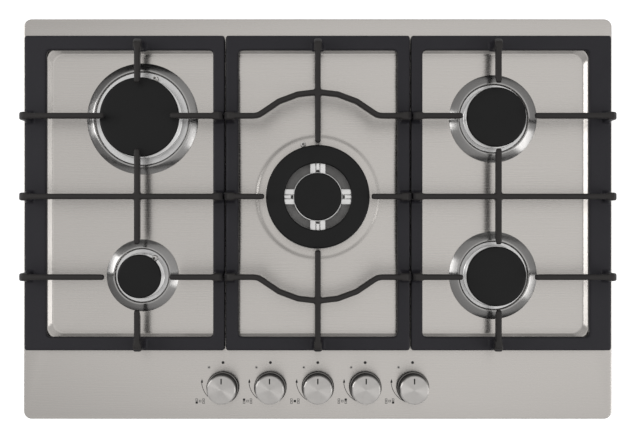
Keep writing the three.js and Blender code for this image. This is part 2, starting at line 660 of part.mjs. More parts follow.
// The head of the triple-ring burner, turned in one piece: a sleeve into the cup, a slotted crown with a rim
// for the inner flame, a floor, and a channel whose slotted outer wall carries the two outer rings of flame.
function wokSpreader() {
  const outer = WOK_CAP_OUTER - WOK_CROWN_IN;
  const inner = WOK_CAP_INNER + WOK_CROWN_IN;
  const hub = WOK_INNER_CAP - CROWN_IN;
  const rim = WOK_CAP_OUTER + 1;
  const hubRim = WOK_INNER_CAP + WOK_HUB_RIM;
  const sleeveZ = wokHeadZ - SPREADER_SLEEVE_DEPTH;
  const floorTop = wokHeadZ + SPREADER_FLOOR;
  const slotZ = crownTopZ - FLAME_SLOT_DEPTH;
  const below = [[SPREADER_THROAT, sleeveZ], [SPREADER_SLEEVE, sleeveZ], [SPREADER_SLEEVE, wokHeadZ]];
  below.push([WOK_CAP_OUTER, wokHeadZ], [rim, wokHeadZ + 1], [rim, floorTop]);
  const channel = [[outer, floorTop + 1.5], [outer, crownTopZ], [outer - WOK_WALL, crownTopZ]];
  channel.push([outer - WOK_WALL, floorTop], [inner + WOK_WALL, floorTop]);
  channel.push([inner + WOK_WALL, crownTopZ], [inner, crownTopZ], [inner, floorTop]);
  const crown = [[hub, floorTop], [hub, slotZ - WOK_HUB_RIM_THICKNESS]];
  crown.push([hubRim, slotZ - WOK_HUB_RIM_THICKNESS], [hubRim, slotZ - SEAT_GAP], [hub, slotZ]);
  crown.push([hub, crownTopZ], [hub - WOK_WALL, crownTopZ], [hub - WOK_WALL, floorTop]);
  const profile = [...below, ...channel, ...crown, [SPREADER_THROAT, floorTop]];
  const slots = (count, crownRadius) => {
    const start = crownRadius - WOK_WALL - 1;
    return slotCutters(count, start, crownRadius + 1, FLAME_SLOT_WIDTH, slotZ, crownTopZ + THROUGH);
  };
  const flameSlots = [...slots(WOK_OUTER_SLOTS, outer), ...slots(WOK_INNER_SLOTS, hub)];
  return join(cut(turned(profile, FINE_SIDES), ...flameSlots), ...wokBridges(hub, inner));
}

// Four bridges from the hub to the ring, each with two slots that leave three fins.
function wokBridges(hub, inner) {
  const half = WOK_BRIDGE_WIDTH / 2;
  const slotHalf = WOK_BRIDGE_SLOT / 2;
  const slotZ = crownTopZ - WOK_BRIDGE_SLOT_DEPTH;
  return [0, 1, 2, 3].map((quarter) => {
    const turn = (quarter * Math.PI) / 2;
    const body = box(hub - WOK_BITE, inner + WOK_BITE, -half, half, wokHeadZ, crownTopZ);
    const slots = [-1, 1].map((side) => {
      const y = (side * WOK_BRIDGE_WIDTH) / 5;
      return box(0, WOK_CAP_OUTER, y - slotHalf, y + slotHalf, slotZ, crownTopZ + THROUGH).rotateZ(turn);
    });
    return cut(body.rotateZ(turn), ...slots);
  });
}

function wokRingCap() {
  const [outer, inner] = [WOK_CAP_OUTER, WOK_CAP_INNER];
  const lipOuter = outer - WOK_CROWN_IN - WOK_WALL - 1;
  const lipInner = lipOuter - WOK_LIP_WIDTH;
  const lipZ = capUnderZ - CAP_BOSS_DEPTH;
  const edgeZ = capTopZ - CAP_ROUND - CAP_DOME;
  const profile = [[inner, capUnderZ], [lipInner, capUnderZ], [lipInner, lipZ], [lipOuter, lipZ]];
  profile.push([lipOuter, capUnderZ], [outer, capUnderZ], [outer, edgeZ], [outer - CAP_ROUND, capTopZ]);
  profile.push([inner + CAP_ROUND, capTopZ], [inner, edgeZ]);
  return turned(profile, FINE_SIDES);
}

// ---- Pan supports -------------------------------------------------------------------------------

const supportOuterX = wellWidth / 2 - SIDE_OVERHANG + OUTER_BAR;
const supportRearY = wellRearY - REAR_OVERHANG + REAR_BAR;
const supportFrontY = wellFrontY + FRONT_OVERHANG - FRONT_BAR;

// The flat cast frame between left and right, with bars of the given widths, and a foot under each corner.
function supportFrame(left, right, leftBar, rightBar) {
  const outline = roundedRectangle(left, right, supportFrontY, supportRearY, FRAME_OUTER_RADIUS);
  const window = roundedRectangle(
    left + leftBar,
    right - rightBar,
    supportFrontY + FRONT_BAR,
    supportRearY - REAR_BAR,
    FRAME_INNER_RADIUS,
    new THREE.Path(),
  );
  outline.holes.push(window);
  const frame = prism(outline, frameZ, frameTopZ, FRAME_CHAMFER);
  const feet = [left + FOOT_INSET, right - FOOT_INSET].flatMap((x) =>
    [supportFrontY + FOOT_INSET, supportRearY - FOOT_INSET].map((y) => {
      return cylinder(FOOT_RADIUS, rimZ + SEAT_GAP, frameZ + 2, SMALL_SIDES).translate(x, y, 0);
    }),
  );
  return join(frame, ...feet);
}

// Turns a side view, drawn as distance against height, into a bar with chamfered edges. Its distances
// start at (x, y) and run along the direction of turn.
function barFromSide(side, x, y, turn, width = FINGER_WIDTH) {
  const half = width / 2;
  const bar = prism(side, -half, half, FINGER_CHAMFER).rotateX(Math.PI / 2);
  return bar.rotateZ(turn).translate(x, y, 0);
}

// A finger that rises from the frame at (x, y), turns level and ends in a sloped tip at the given length.
function finger(x, y, turn, length) {
  const start = POST_LENGTH / 2;
  const gussetZ = fingerUnderZ - FINGER_SHOULDER;
  const side = new THREE.Shape();
  side.moveTo(start, gussetZ);
  side.lineTo(POST_LENGTH, gussetZ);
  side.quadraticCurveTo(POST_LENGTH, fingerUnderZ, POST_LENGTH + FINGER_SHOULDER, fingerUnderZ);
  side.lineTo(length - 2 * TIP_DROP, fingerUnderZ);
  side.quadraticCurveTo(length, fingerUnderZ, length, fingerTopZ - TIP_DROP);
  side.lineTo(length - TIP_DROP / 2, fingerTopZ);
  side.lineTo(start, fingerTopZ);
  side.closePath();
  return [barFromSide(side, x, y, turn), ...post(x, y, turn)];
}

// A bar across the whole grate, on a post at each end.
function crossbar(x, y, length) {
  const [start, end] = [POST_LENGTH / 2, length - POST_LENGTH / 2];
  const farPost = length - POST_LENGTH;
  const gussetZ = fingerUnderZ - FINGER_SHOULDER;
  const side = new THREE.Shape();
  side.moveTo(start, gussetZ);
  side.lineTo(POST_LENGTH, gussetZ);
  side.quadraticCurveTo(POST_LENGTH, fingerUnderZ, POST_LENGTH + FINGER_SHOULDER, fingerUnderZ);
  side.lineTo(farPost - FINGER_SHOULDER, fingerUnderZ);
  side.quadraticCurveTo(farPost, fingerUnderZ, farPost, gussetZ);
  side.lineTo(end, gussetZ);
  side.lineTo(end, fingerTopZ);
  side.lineTo(start, fingerTopZ);
  side.closePath();
  return [barFromSide(side, x, y, 0), ...post(x, y, 0), ...post(x + length, y, Math.PI)];
}

// A bar between two burners, sloped at both tips and carried by the crossbar.
function doubleTip(x, y, length) {
  const side = new THREE.Shape();
  side.moveTo(2 * TIP_DROP, fingerUnderZ);
  side.lineTo(length - 2 * TIP_DROP, fingerUnderZ);
  side.quadraticCurveTo(length, fingerUnderZ, length, fingerTopZ - TIP_DROP);
  side.lineTo(length - TIP_DROP / 2, fingerTopZ);
  side.lineTo(TIP_DROP / 2, fingerTopZ);
  side.lineTo(0, fingerTopZ - TIP_DROP);
  side.quadraticCurveTo(0, fingerUnderZ, 2 * TIP_DROP, fingerUnderZ);
  side.closePath();
  return [barFromSide(side, x, y, Math.PI / 2)];
}

// The wider post at the outer end of a finger or bar, with its root.
function post(x, y, turn) {
  const low = frameZ + FRAME_CHAMFER;
  const side = new THREE.Shape();
  side.moveTo(0, low);
  side.lineTo(POST_LENGTH, low);
  side.lineTo(POST_LENGTH, fingerTopZ);
  side.lineTo(FINGER_SHOULDER, fingerTopZ);
  side.quadraticCurveTo(0, fingerTopZ, 0, fingerTopZ - FINGER_SHOULDER);
  side.closePath();
  return [barFromSide(side, x, y, turn, POST_WIDTH), postRoot(x, y, turn)];
}

// The flared foot of a post, tapering up from the frame into the post.
function postRoot(x, y, turn) {
  const half = ROOT_WIDTH / 2;
  const [near, far] = [FRAME_CHAMFER, POST_LENGTH + ROOT_REACH];
  const corners = [[near, -half], [far, -half], [far, half], [near, half]];
  const outline = new THREE.Shape(corners.map(([a, b]) => new THREE.Vector2(a, b)));
  const low = frameTopZ - ROOT_HEIGHT - 1;
  const root = prism(outline, low, frameTopZ + ROOT_HEIGHT, ROOT_TAPER, ROOT_HEIGHT);
  return root.rotateZ(turn).translate(x, y, 0);
}

// A grate over two burners, between the outer edge and the seam. side is -1 on the left and 1 on the right.
function sideSupport(side, tipGap) {
  const inner = seamX + SEAM_GAP / 2;
  const [left, right] = side < 0 ? [-supportOuterX, -inner] : [inner, supportOuterX];
  const [leftBar, rightBar] = side < 0 ? [OUTER_BAR, INNER_BAR] : [INNER_BAR, OUTER_BAR];
  const axisX = side * burnerX;
  const rearPostY = supportRearY - REAR_POST_INSET;
  const frontPostY = supportFrontY + FRONT_POST_INSET;
  const bars = [rearRowY, frontRowY].flatMap((y) => [
    ...finger(left, y, 0, axisX - tipGap - left),
    ...finger(right, y, Math.PI, right - axisX - tipGap),
  ]);
  bars.push(...finger(axisX, rearPostY, -Math.PI / 2, rearPostY - rearRowY - FINGER_TIP_GAP));
  bars.push(...finger(axisX, frontPostY, Math.PI / 2, frontRowY - FINGER_TIP_GAP - frontPostY));
  bars.push(...doubleTip(axisX, frontRowY + FINGER_TIP_GAP, rearRowY - frontRowY - 2 * FINGER_TIP_GAP));
  bars.push(...crossbar(left, centreY, right - left));
  return join(supportFrame(left, right, leftBar, rightBar), ...bars);
}

// Half of a bow's centre line, from its straight end to the middle, as distance and bulge.
function bowHalf() {
  const drop = BOW_RADIUS - BOW_RISE;
  const reach = Math.sqrt((BOW_RADIUS + BOW_FILLET) ** 2 - (BOW_FILLET + drop) ** 2);
  const sweep = Math.atan2(reach, BOW_FILLET + drop);
  const points = [];
  for (let i = 0; i < BOW_FILLET_STATIONS; i++) {
    const angle = (i * sweep) / BOW_FILLET_STATIONS;
    points.push([reach - BOW_FILLET * Math.sin(angle), BOW_FILLET * (1 - Math.cos(angle))]);
  }
  for (let i = 0; i <= BOW_STATIONS; i++) {
    const angle = sweep * (1 - i / BOW_STATIONS);
    points.push([BOW_RADIUS * Math.sin(angle), BOW_RADIUS * Math.cos(angle) - drop]);
  }
  return points;
}

// A bar that runs straight in from both side bars and then bows away from the centre burner.
function bowedBar(y, outward, edge) {
  const half = [[edge - POST_LENGTH / 2, 0], ...bowHalf()];
  const left = half.map(([a, b]) => new THREE.Vector2(-a, outward * b));
  const right = half.slice(0, -1).map(([a, b]) => new THREE.Vector2(a, outward * b));
  const line = [...left, ...right.reverse()];
  const offset = (side) =>
    line.map((point, i) => {
      const ahead = (line[i + 1] ?? point).clone();
      const along = ahead.sub(line[i - 1] ?? point).normalize();
      const shift = (side * FINGER_WIDTH) / 2;
      return new THREE.Vector2(point.x - shift * along.y, point.y + shift * along.x);
    });
  const outline = new THREE.Shape([...offset(-1), ...offset(1).reverse()]);
  const bar = prism(outline, fingerUnderZ, fingerTopZ, FINGER_CHAMFER).translate(0, y, 0);
  return [bar, ...post(-edge, y, 0), ...post(edge, y, Math.PI)];
}

function centreSupport() {
  const edge = seamX - SEAM_GAP / 2;
  const rearPostY = supportRearY - REAR_POST_INSET;
  const frontPostY = supportFrontY + FRONT_POST_INSET;
  const bars = [
    ...finger(0, rearPostY, -Math.PI / 2, rearPostY - centreY - WOK_TIP_GAP),
    ...finger(0, frontPostY, Math.PI / 2, centreY - WOK_TIP_GAP - frontPostY),
    ...finger(-edge, centreY, 0, edge - WOK_TIP_GAP),
    ...finger(edge, centreY, Math.PI, edge - WOK_TIP_GAP),
    ...bowedBar(rearRowY, 1, edge),
    ...bowedBar(frontRowY, -1, edge),
  ];
  return join(supportFrame(-edge, edge, CENTRE_BAR, CENTRE_BAR), ...bars);
}

// ---- Knobs and taps -----------------------------------------------------------------------------

const knobZ = rimZ + KNOB_LIFT;
const knobFaceZ = rimZ + KNOB_FACE;
const spindleTopZ = knobFaceZ - KNOB_TOP_WALL - SEAT_GAP;
const plugTopZ = plugZ + PLUG_HEIGHT;
const spindleZ = plugTopZ - SPINDLE_IN_PLUG;

function dShaft(radius, flat, bottom, top) {
  const shaft = cylinder(radius, bottom, top, COARSE_SIDES);
  return cut(shaft, box(-2 * radius, 2 * radius, flat, 3 * radius, bottom - THROUGH, top + THROUGH));
}

function knob() {
  const inner = KNOB_RADIUS - KNOB_WALL;
  const roofZ = knobFaceZ - KNOB_TOP_WALL;
  const skirtTop = knobZ + KNOB_SKIRT_HEIGHT;
  const edge = KNOB_RADIUS - KNOB_FACE_RADIUS;
  const profile = [[inner, knobZ], [KNOB_SKIRT_RADIUS, knobZ], [KNOB_RADIUS, skirtTop]];
  profile.push([KNOB_RADIUS, knobFaceZ - edge], [KNOB_FACE_RADIUS, knobFaceZ], [0, knobFaceZ]);
  profile.push([0, roofZ], [inner, roofZ]);
  const hub = cylinder(KNOB_HUB_RADIUS, knobZ + 1, roofZ + 1, COARSE_SIDES);
  const bore = dShaft(SPINDLE_RADIUS + SEAT_GAP, SPINDLE_FLAT + SEAT_GAP, knobZ - THROUGH, roofZ);
  const half = POINTER_WIDTH / 2;
  const end = POINTER_INNER + POINTER_LENGTH;
  const pointer = box(-half, half, POINTER_INNER, end, knobFaceZ - POINTER_DEPTH, knobFaceZ + THROUGH);
  return cut(join(turned(profile, FINE_SIDES), hub), bore, pointer);
}

function spindle() {
  return dShaft(SPINDLE_RADIUS, SPINDLE_FLAT, spindleZ, spindleTopZ);
}

function tapPlug() {
  const profile = [[0, plugZ], [PLUG_RADIUS - PLUG_TAPER, plugZ], [PLUG_RADIUS, plugTopZ], [0, plugTopZ]];
  const boreZ = spindleZ - SPINDLE_TRAVEL_ROOM;
  const bore = dShaft(SPINDLE_RADIUS + SEAT_GAP, SPINDLE_FLAT + SEAT_GAP, boreZ, plugTopZ + THROUGH);
  return cut(turned(profile, COARSE_SIDES), bore);
}

// The housing of a tap: a block on the rail, a neck up to the panel, a tapered seat for the plug and an
// outlet.
function tapBody() {
  const [x, y] = [TAP_WIDTH / 2, TAP_DEPTH / 2];
  const block = box(-x, x, -y, y, tapZ, tapTopZ);
  const neck = cylinder(TAP_NECK_RADIUS, tapTopZ - 1, rimUnderZ - SEAT_GAP, COARSE_SIDES);
  const seatTop = circumscribed(PLUG_RADIUS + SEAT_GAP, COARSE_SIDES);
  const seat = [[0, plugZ - SEAT_GAP], [seatTop - PLUG_TAPER, plugZ - SEAT_GAP]];
  seat.push([seatTop, plugTopZ + SEAT_GAP], [0, plugTopZ + SEAT_GAP]);
  const spindleHole = cylinder(SPINDLE_RADIUS + 2 * SEAT_GAP, plugTopZ, rimZ + THROUGH, COARSE_SIDES);
  const outlet = cylinder(TAP_OUTLET_RADIUS, 0, TAP_OUTLET_LENGTH + 1, COARSE_SIDES).rotateX(-Math.PI / 2);
  outlet.translate(0, y - 1, feedZ);
  return cut(join(block, neck, outlet), turned(seat, COARSE_SIDES), spindleHole);
}

// ---- Gas pipes, inlet and ignition --------------------------------------------------------------

function manifoldRail() {
  const startX = knobPositions()[0] - RAIL_OVERRUN;
  const corners = [
    [startX, knobRowY, RAIL_HEIGHT],
    [railSideX, knobRowY, RAIL_HEIGHT],
    [railSideX, inletEndY - INLET_LENGTH - SEAT_GAP, RAIL_HEIGHT],
  ];
  return bentTube(corners, RAIL_RADIUS, RAIL_BEND);
}

function inletStub() {
  const nutTop = INLET_NUT_LENGTH;
  const profile = [[INLET_BORE, 0], [INLET_NUT, 0], [INLET_NUT, nutTop], [INLET_RADIUS, nutTop + 1]];
  profile.push([INLET_RADIUS, INLET_LENGTH], [INLET_BORE, INLET_LENGTH]);
  return turned(profile, MEDIUM_SIDES).rotateX(-Math.PI / 2);
}

// Feed pipes run from the taps' outlets to the cups, one corner list for each tap, from left to right.
function feedRoutes() {
  const startY = knobRowY + TAP_DEPTH / 2 + TAP_OUTLET_LENGTH + SEAT_GAP;
  const turnY = wellFrontY + FEED_TURN_MARGIN;
  const reach = (size) => burnerX - size.body - SEAT_GAP;
  const knobs = knobPositions();
  const near = (x, side, size) => [
    [x, startY, feedZ],
    [x, frontRowY, feedZ],
    [side * reach(size), frontRowY, feedZ],
  ];
  const far = (x, side, size) => [
    [x, startY, feedZ],
    [x, turnY, feedZ],
    [side * FEED_DETOUR_X, turnY + Math.abs(FEED_DETOUR_X - Math.abs(x)), feedZ],
    [side * FEED_DETOUR_X, rearRowY, feedZ],
    [side * reach(size), rearRowY, feedZ],
  ];
  return [
    near(knobs[0], -1, BURNER_SMALL),
    far(knobs[1], -1, BURNER_LARGE),
    [[knobs[2], startY, feedZ], [knobs[2], centreY - WOK_BODY - SEAT_GAP, feedZ]],
    far(knobs[3], 1, BURNER_MEDIUM),
    near(knobs[4], 1, BURNER_MEDIUM),
  ];
}

function sparkGenerator() {
  const [x, y] = [SPARK_WIDTH / 2, SPARK_DEPTH / 2];
  const low = SHEET + SEAT_GAP;
  const top = low + SPARK_HEIGHT;
  const body = box(-x, x, -y, y, low, top);
  const terminals = [-2, -1, 0, 1, 2].map((i) => {
    const terminal = cylinder(SPARK_TERMINAL, top - 1, top + SPARK_TERMINAL_HEIGHT, SMALL_SIDES);
    return terminal.translate(i * SPARK_TERMINAL_PITCH, 0, 0);
  });
  return join(body, ...terminals);
}

// A rubber gland along the Y axis, whose groove holds the wall of the tray.
function cableGland() {
  const wallY = SHEET / 2 + SEAT_GAP;
  const outsideY = GLAND_LENGTH / 2;
  const edge = GLAND_FLANGE - GLAND_CHAMFER;
  const profile = [[GLAND_BORE, -GLAND_LENGTH], [edge, -GLAND_LENGTH], [GLAND_FLANGE, -wallY]];
  profile.push([GLAND_RADIUS, -wallY], [GLAND_RADIUS, wallY], [GLAND_FLANGE, wallY]);
  profile.push([edge, outsideY], [GLAND_BORE, outsideY]);
  return turned(profile, COARSE_SIDES).rotateX(-Math.PI / 2);
}

// ---- The cooktop --------------------------------------------------------------------------------

const cooktop = new THREE.Group();
const { brushedSteel, galvanised, castIron, enamel, castAluminium, polishedSteel } = MATERIALS;

cooktop.add(mesh("top_plate", topPlate(), brushedSteel));
cooktop.add(mesh("rim_seal", foamSeal(), MATERIALS.rubber));
cooktop.add(mesh("bottom_tray", bottomTray(), galvanised));

for (const { name, x, y, size } of BURNERS) {
  const burner = new THREE.Group();
  burner.position.set(x, y, 0);
  const flange = size.ringInner - 2 * SEAT_GAP;
  const cup = burnerCup(size.body, flange, wellZ + SEAT_GAP, size.igniter, MEDIUM_SIDES);
  const boss = inscribed(size.cap - CROWN_IN - CROWN_WALL, MEDIUM_SIDES) - SEAT_GAP;
  burner.add(mesh(`burner_cup_${name}`, cup, castAluminium));
  burner.add(mesh(`trim_ring_${name}`, trimRing(size), polishedSteel));
  burner.add(mesh(`flame_spreader_${name}`, flameSpreader(size), castAluminium));
  burner.add(mesh(`burner_cap_${name}`, burnerCap(size.cap, boss), enamel));
  const pinPlace = [...polar(size.igniter), 0];
  burner.add(mesh(`igniter_${name}`, igniter(wellUnderZ), MATERIALS.ceramic, pinPlace));
  cooktop.add(burner);
}

const wok = new THREE.Group();
wok.position.set(0, centreY, 0);
const wokCup = burnerCup(WOK_BODY, WOK_CAP_OUTER - 1, wokSeatZ, WOK_IGNITER, FINE_SIDES);
const wokBoss = inscribed(WOK_INNER_CAP - CROWN_IN - WOK_WALL, FINE_SIDES) - SEAT_GAP;
wok.add(mesh("burner_cup_centre", wokCup, castAluminium));
wok.add(mesh("flame_spreader_centre", wokSpreader(), castAluminium));
wok.add(mesh("burner_cap_centre_ring", wokRingCap(), enamel));
wok.add(mesh("burner_cap_centre_inner", burnerCap(WOK_INNER_CAP, wokBoss), enamel));
const wokIgniter = igniter(wellUnderZ + STEP_RISE);
wok.add(mesh("igniter_centre", wokIgniter, MATERIALS.ceramic, [...polar(WOK_IGNITER), 0]));
cooktop.add(wok);

cooktop.add(mesh("pan_support_left", sideSupport(-1, FINGER_TIP_GAP), castIron));
cooktop.add(mesh("pan_support_centre", centreSupport(), castIron));
cooktop.add(mesh("pan_support_right", sideSupport(1, RIGHT_TIP_GAP), castIron));

knobPositions().forEach((x, i) => {
  const name = TAP_NAMES[i];
  const tap = new THREE.Group();
  tap.position.set(x, knobRowY, 0);
  tap.add(mesh(`knob_${name}`, knob(), MATERIALS.plastic));
  tap.add(mesh(`tap_spindle_${name}`, spindle(), galvanised));
  tap.add(mesh(`tap_plug_${name}`, tapPlug(), MATERIALS.brass));
  tap.add(mesh(`tap_body_${name}`, tapBody(), castAluminium));
  cooktop.add(tap);
});

cooktop.add(mesh("gas_manifold_rail", manifoldRail(), galvanised));
const inletPlace = [railSideX, inletEndY - INLET_LENGTH, RAIL_HEIGHT];
cooktop.add(mesh("gas_inlet_stub", inletStub(), MATERIALS.brass, inletPlace));
feedRoutes().forEach((corners, i) => {
  const pipe = bentTube(corners, FEED_RADIUS, FEED_BEND);
  cooktop.add(mesh(`feed_pipe_${TAP_NAMES[i]}`, pipe, castAluminium));
});
const sparkPlace = [trayWidth / 2 - SPARK_SIDE_MARGIN, trayDepth / 2 - SPARK_REAR_MARGIN, 0];
cooktop.add(mesh("spark_generator", sparkGenerator(), MATERIALS.plastic, sparkPlace));
const glandPlace = [glandX, trayDepth / 2 - SHEET / 2, GLAND_HEIGHT];
cooktop.add(mesh("cable_gland", cableGland(), MATERIALS.rubber, glandPlace));

export default cooktop;
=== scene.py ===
"""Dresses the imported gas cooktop: plate, pan supports, burners, knobs, panel marks and tray."""

import logging
import math
from collections.abc import Iterator, Sequence
from contextlib import contextmanager
from dataclasses import dataclass
from enum import Enum
from functools import cache

import bpy
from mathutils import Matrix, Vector


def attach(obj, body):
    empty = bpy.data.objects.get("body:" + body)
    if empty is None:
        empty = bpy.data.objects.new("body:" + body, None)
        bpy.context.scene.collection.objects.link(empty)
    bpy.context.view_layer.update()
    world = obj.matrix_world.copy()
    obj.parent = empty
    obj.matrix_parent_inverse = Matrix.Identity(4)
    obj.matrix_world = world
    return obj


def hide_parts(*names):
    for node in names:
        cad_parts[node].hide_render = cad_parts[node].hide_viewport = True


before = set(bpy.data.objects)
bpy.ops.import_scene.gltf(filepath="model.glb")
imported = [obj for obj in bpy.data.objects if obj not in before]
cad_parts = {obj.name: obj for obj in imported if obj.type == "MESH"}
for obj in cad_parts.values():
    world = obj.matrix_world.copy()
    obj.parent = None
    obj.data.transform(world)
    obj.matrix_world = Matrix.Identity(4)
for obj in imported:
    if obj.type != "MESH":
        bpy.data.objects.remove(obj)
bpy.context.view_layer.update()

LOG = logging.getLogger("cooktop")
MM = 0.001
Piece = bpy.types.Object
Material = bpy.types.Material
Socket = bpy.types.NodeSocket
Point = tuple[float, float]
Place = tuple[float, float, float]
Colour = tuple[float, float, float]


# ---- Modelling tools ----


def activate(*pieces: Piece) -> None:
    """Selects only these pieces and makes the first one active.

    Args:
        pieces: The objects to select.
    """
    for other in bpy.context.selected_objects:
        other.select_set(False)
    for piece in pieces:
        piece.select_set(True)
    bpy.context.view_layer.objects.active = pieces[0]


@contextmanager
def editing(piece: Piece, select: str = "SELECT") -> Iterator[None]:
    """Edit mode on one piece.

    Args:
        piece: The mesh object to edit.
        select: What happens to its selection at the start.

    Yields:
        Nothing.
    """
    activate(piece)
    bpy.ops.object.mode_set(mode="EDIT")
    bpy.ops.mesh.select_all(action=select)
    yield
    bpy.ops.object.mode_set(mode="OBJECT")


def named(name: str) -> Piece:
    """Names the active object and its mesh, and puts its place into the mesh.

    Args:
        name: The piece's name.

    Returns:
        The active object.
    """
    piece = bpy.context.active_object
    piece.name = piece.data.name = name
    activate(piece)
    bpy.ops.object.transform_apply(location=True, rotation=True, scale=True)
    return piece


def modify(piece: Piece, kind: str, **settings: object) -> None:
    """Adds a modifier with these settings and applies it.

    Args:
        piece: The piece to change.
        kind: The modifier's type.
        settings: The modifier's properties and their values.
    """
    modifier = piece.modifiers.new(kind.title(), kind)
    for key, value in settings.items():
        setattr(modifier, key, value)
    activate(piece)
    bpy.ops.object.modifier_apply(modifier=modifier.name)


def combine(piece: Piece, other: Piece, operation: str = "DIFFERENCE") -> None:
    """Cuts another piece out of this one, or joins it on. The other one is used up."""
    modify(piece, "BOOLEAN", object=other, operation=operation, solver="EXACT")
    bpy.data.objects.remove(other)


def joined(name: str, pieces: list[Piece]) -> Piece:
    """Puts several meshes into one object.

    Args:
        name: The joined object's name.
        pieces: The objects to join.

    Returns:
        The joined object.
    """
    activate(*pieces)
    bpy.ops.object.join()
    return named(name)


def smooth(piece: Piece, degrees: float = 32.0) -> None:
    """Shades a piece smooth, except along edges sharper than the angle."""
    activate(piece)
    bpy.ops.object.shade_smooth_by_angle(angle=math.radians(degrees))


def tidy_faces(piece: Piece) -> Piece:
    """Merges doubles and turns all faces outwards.

    Args:
        piece: The piece to clean.

    Returns:
        The same piece.
    """
    with editing(piece):
        bpy.ops.mesh.remove_doubles(threshold=1e-6)
        bpy.ops.mesh.normals_make_consistent(inside=False)
    return piece


def drawn_chain(points: list[Vector]) -> Piece:
    """Draws a chain of edges by extruding one vertex from point to point.

    Args:
        points: The chain's points.

    Returns:
        The object that holds the chain.
    """
    bpy.ops.mesh.primitive_plane_add(size=MM, location=points[0])
    piece = bpy.context.active_object
    with editing(piece):
        bpy.ops.mesh.merge(type="CENTER")
        for before, after in zip(points, points[1:]):
            bpy.ops.mesh.extrude_vertices_move(TRANSFORM_OT_translate={"value": after - before})
    return piece


def spun(name: str, profile: list[Point], centre: Point = (0, 0), steps: int = 96) -> Piece:
    """A turned piece: a profile of radius and height, spun about a vertical axis, in millimetres.

    Args:
        name: Its name.
        profile: The profile, which starts and ends on the axis or is closed.
        centre: The axis.
        steps: How many facets the turn has.

    Returns:
        The piece.
    """
    outline = list(profile)
    if outline[0][0] > 0 or outline[-1][0] > 0:
        outline.append(outline[0])
    with editing(drawn_chain([mm(centre[0] + radius, centre[1], z) for radius, z in outline])):
        bpy.ops.mesh.spin(steps=steps, angle=2 * math.pi, center=mm(*centre, 0), axis=(0, 0, 1))
    piece = tidy_faces(named(name))
    smooth(piece)
    return piece


def slab(name: str, low: Vector, high: Vector, corner: float, draw_in: float = 0.0, steps: int = 8) -> Piece:
    """A block with rounded upright corners, whose lower face may be drawn in.

    Args:
        name: Its name.
        low: Its lowest corner in metres.
        high: Its highest corner.
        corner: The corners' radius.
        draw_in: How far the lower face is drawn in on each side.
        steps: How many facets a corner has.

    Returns:
        The piece.
    """
    size, middle = high - low, (low + high) / 2
    bpy.ops.mesh.primitive_plane_add(size=1, location=(middle.x, middle.y, high.z))
    with editing(bpy.context.active_object):
        bpy.ops.transform.resize(value=(size.x, size.y, 1))
        bpy.ops.mesh.bevel(offset=corner, segments=steps, affect="VERTICES")
        bpy.ops.mesh.extrude_region_move(TRANSFORM_OT_translate={"value": (0, 0, -size.z)})
        if draw_in > 0:
            bpy.ops.transform.resize(value=(1 - 2 * draw_in / size.x, 1 - 2 * draw_in / size.y, 1))
    return tidy_faces(named(name))


def box(name: str, middle: Vector, size: Vector, turn: float = 0.0) -> Piece:
    """A plain box for cutting.

    Args:
        name: The box's name.
        middle: Its middle in metres.
        size: Its sides in metres.
        turn: How far it is turned about its upright axis, in degrees.

    Returns:
        The box.
    """
    bpy.ops.mesh.primitive_cube_add(size=1, location=middle, rotation=(0, 0, math.radians(turn)))
    bpy.context.active_object.scale = size
    return named(name)


def block(name: str, low: Vector, high: Vector) -> Piece:
    """A box between two corners in metres."""
    return box(name, (low + high) / 2, high - low)


def press(solid: Piece, open_at: float, sharp: float, edge: float, sheet: float) -> None:
    """Turns a solid block into pressed sheet, open on one level side, in millimetres.

    Args:
        solid: The block.
        open_at: The height of the side that is taken off.
        sharp: The angle in degrees past which an edge is rounded.
        edge: The rounding.
        sheet: The sheet's thickness.
    """
    with editing(solid, "DESELECT"):
        pass
    for face in solid.data.polygons:
        face.select = abs(face.center.z - open_at * MM) < 0.1 * MM
    bpy.ops.object.mode_set(mode="EDIT")
    bpy.ops.mesh.select_mode(type="FACE")
    bpy.ops.mesh.delete(type="FACE")
    bpy.ops.mesh.select_mode(type="EDGE")
    bpy.ops.mesh.select_all(action="DESELECT")
    bpy.ops.mesh.edges_select_sharp(sharpness=math.radians(sharp))
    bpy.ops.mesh.bevel(offset=edge * MM, segments=4, affect="EDGES")
    bpy.ops.mesh.select_mode(type="VERT")
    bpy.ops.object.mode_set(mode="OBJECT")
    modify(solid, "SOLIDIFY", thickness=sheet * MM, offset=-1.0, use_even_offset=True)


def slot_comb(count: int, reach: Point, width: float, height: Point, centre: Point,
              skew: float = 0.0) -> Piece:
    """Bars spread round an axis, all in one cutter, in millimetres.

    Args:
        count: How many bars.
        reach: Where a bar starts and ends, from the axis.
        width: How wide it is.
        height: The bars' lower and upper height.
        centre: The axis.
        skew: Turns the whole comb, in degrees.

    Returns:
        The cutter.
    """
    bars = []
    size = mm(reach[1] - reach[0], width, height[1] - height[0])
    for i in range(count):
        turn = i * 360 / count + skew
        place = mm(*arm(sum(reach) / 2, turn, centre), sum(height) / 2)
        bars.append(box(f"slot_{i}", place, size, turn))
    return joined("slot_comb", bars)


def pegs(name: str, places: list[Place], low: float, high: float, sides: int = 64) -> Piece:
    """Upright round cutters in one object.

    Args:
        name: The cutter's name.
        places: Each peg's place and radius, in millimetres.
        low: The pegs' lower height.
        high: Their upper height.
        sides: How many facets a peg has.

    Returns:
        The cutter.
    """
    made = []
    for i, (x, y, radius) in enumerate(places):
        size = {"vertices": sides, "radius": radius * MM, "depth": (high - low) * MM}
        bpy.ops.mesh.primitive_cylinder_add(location=(x * MM, y * MM, (low + high) / 2 * MM), **size)
        made.append(named(f"{name}_{i}"))
    return joined(name, made)


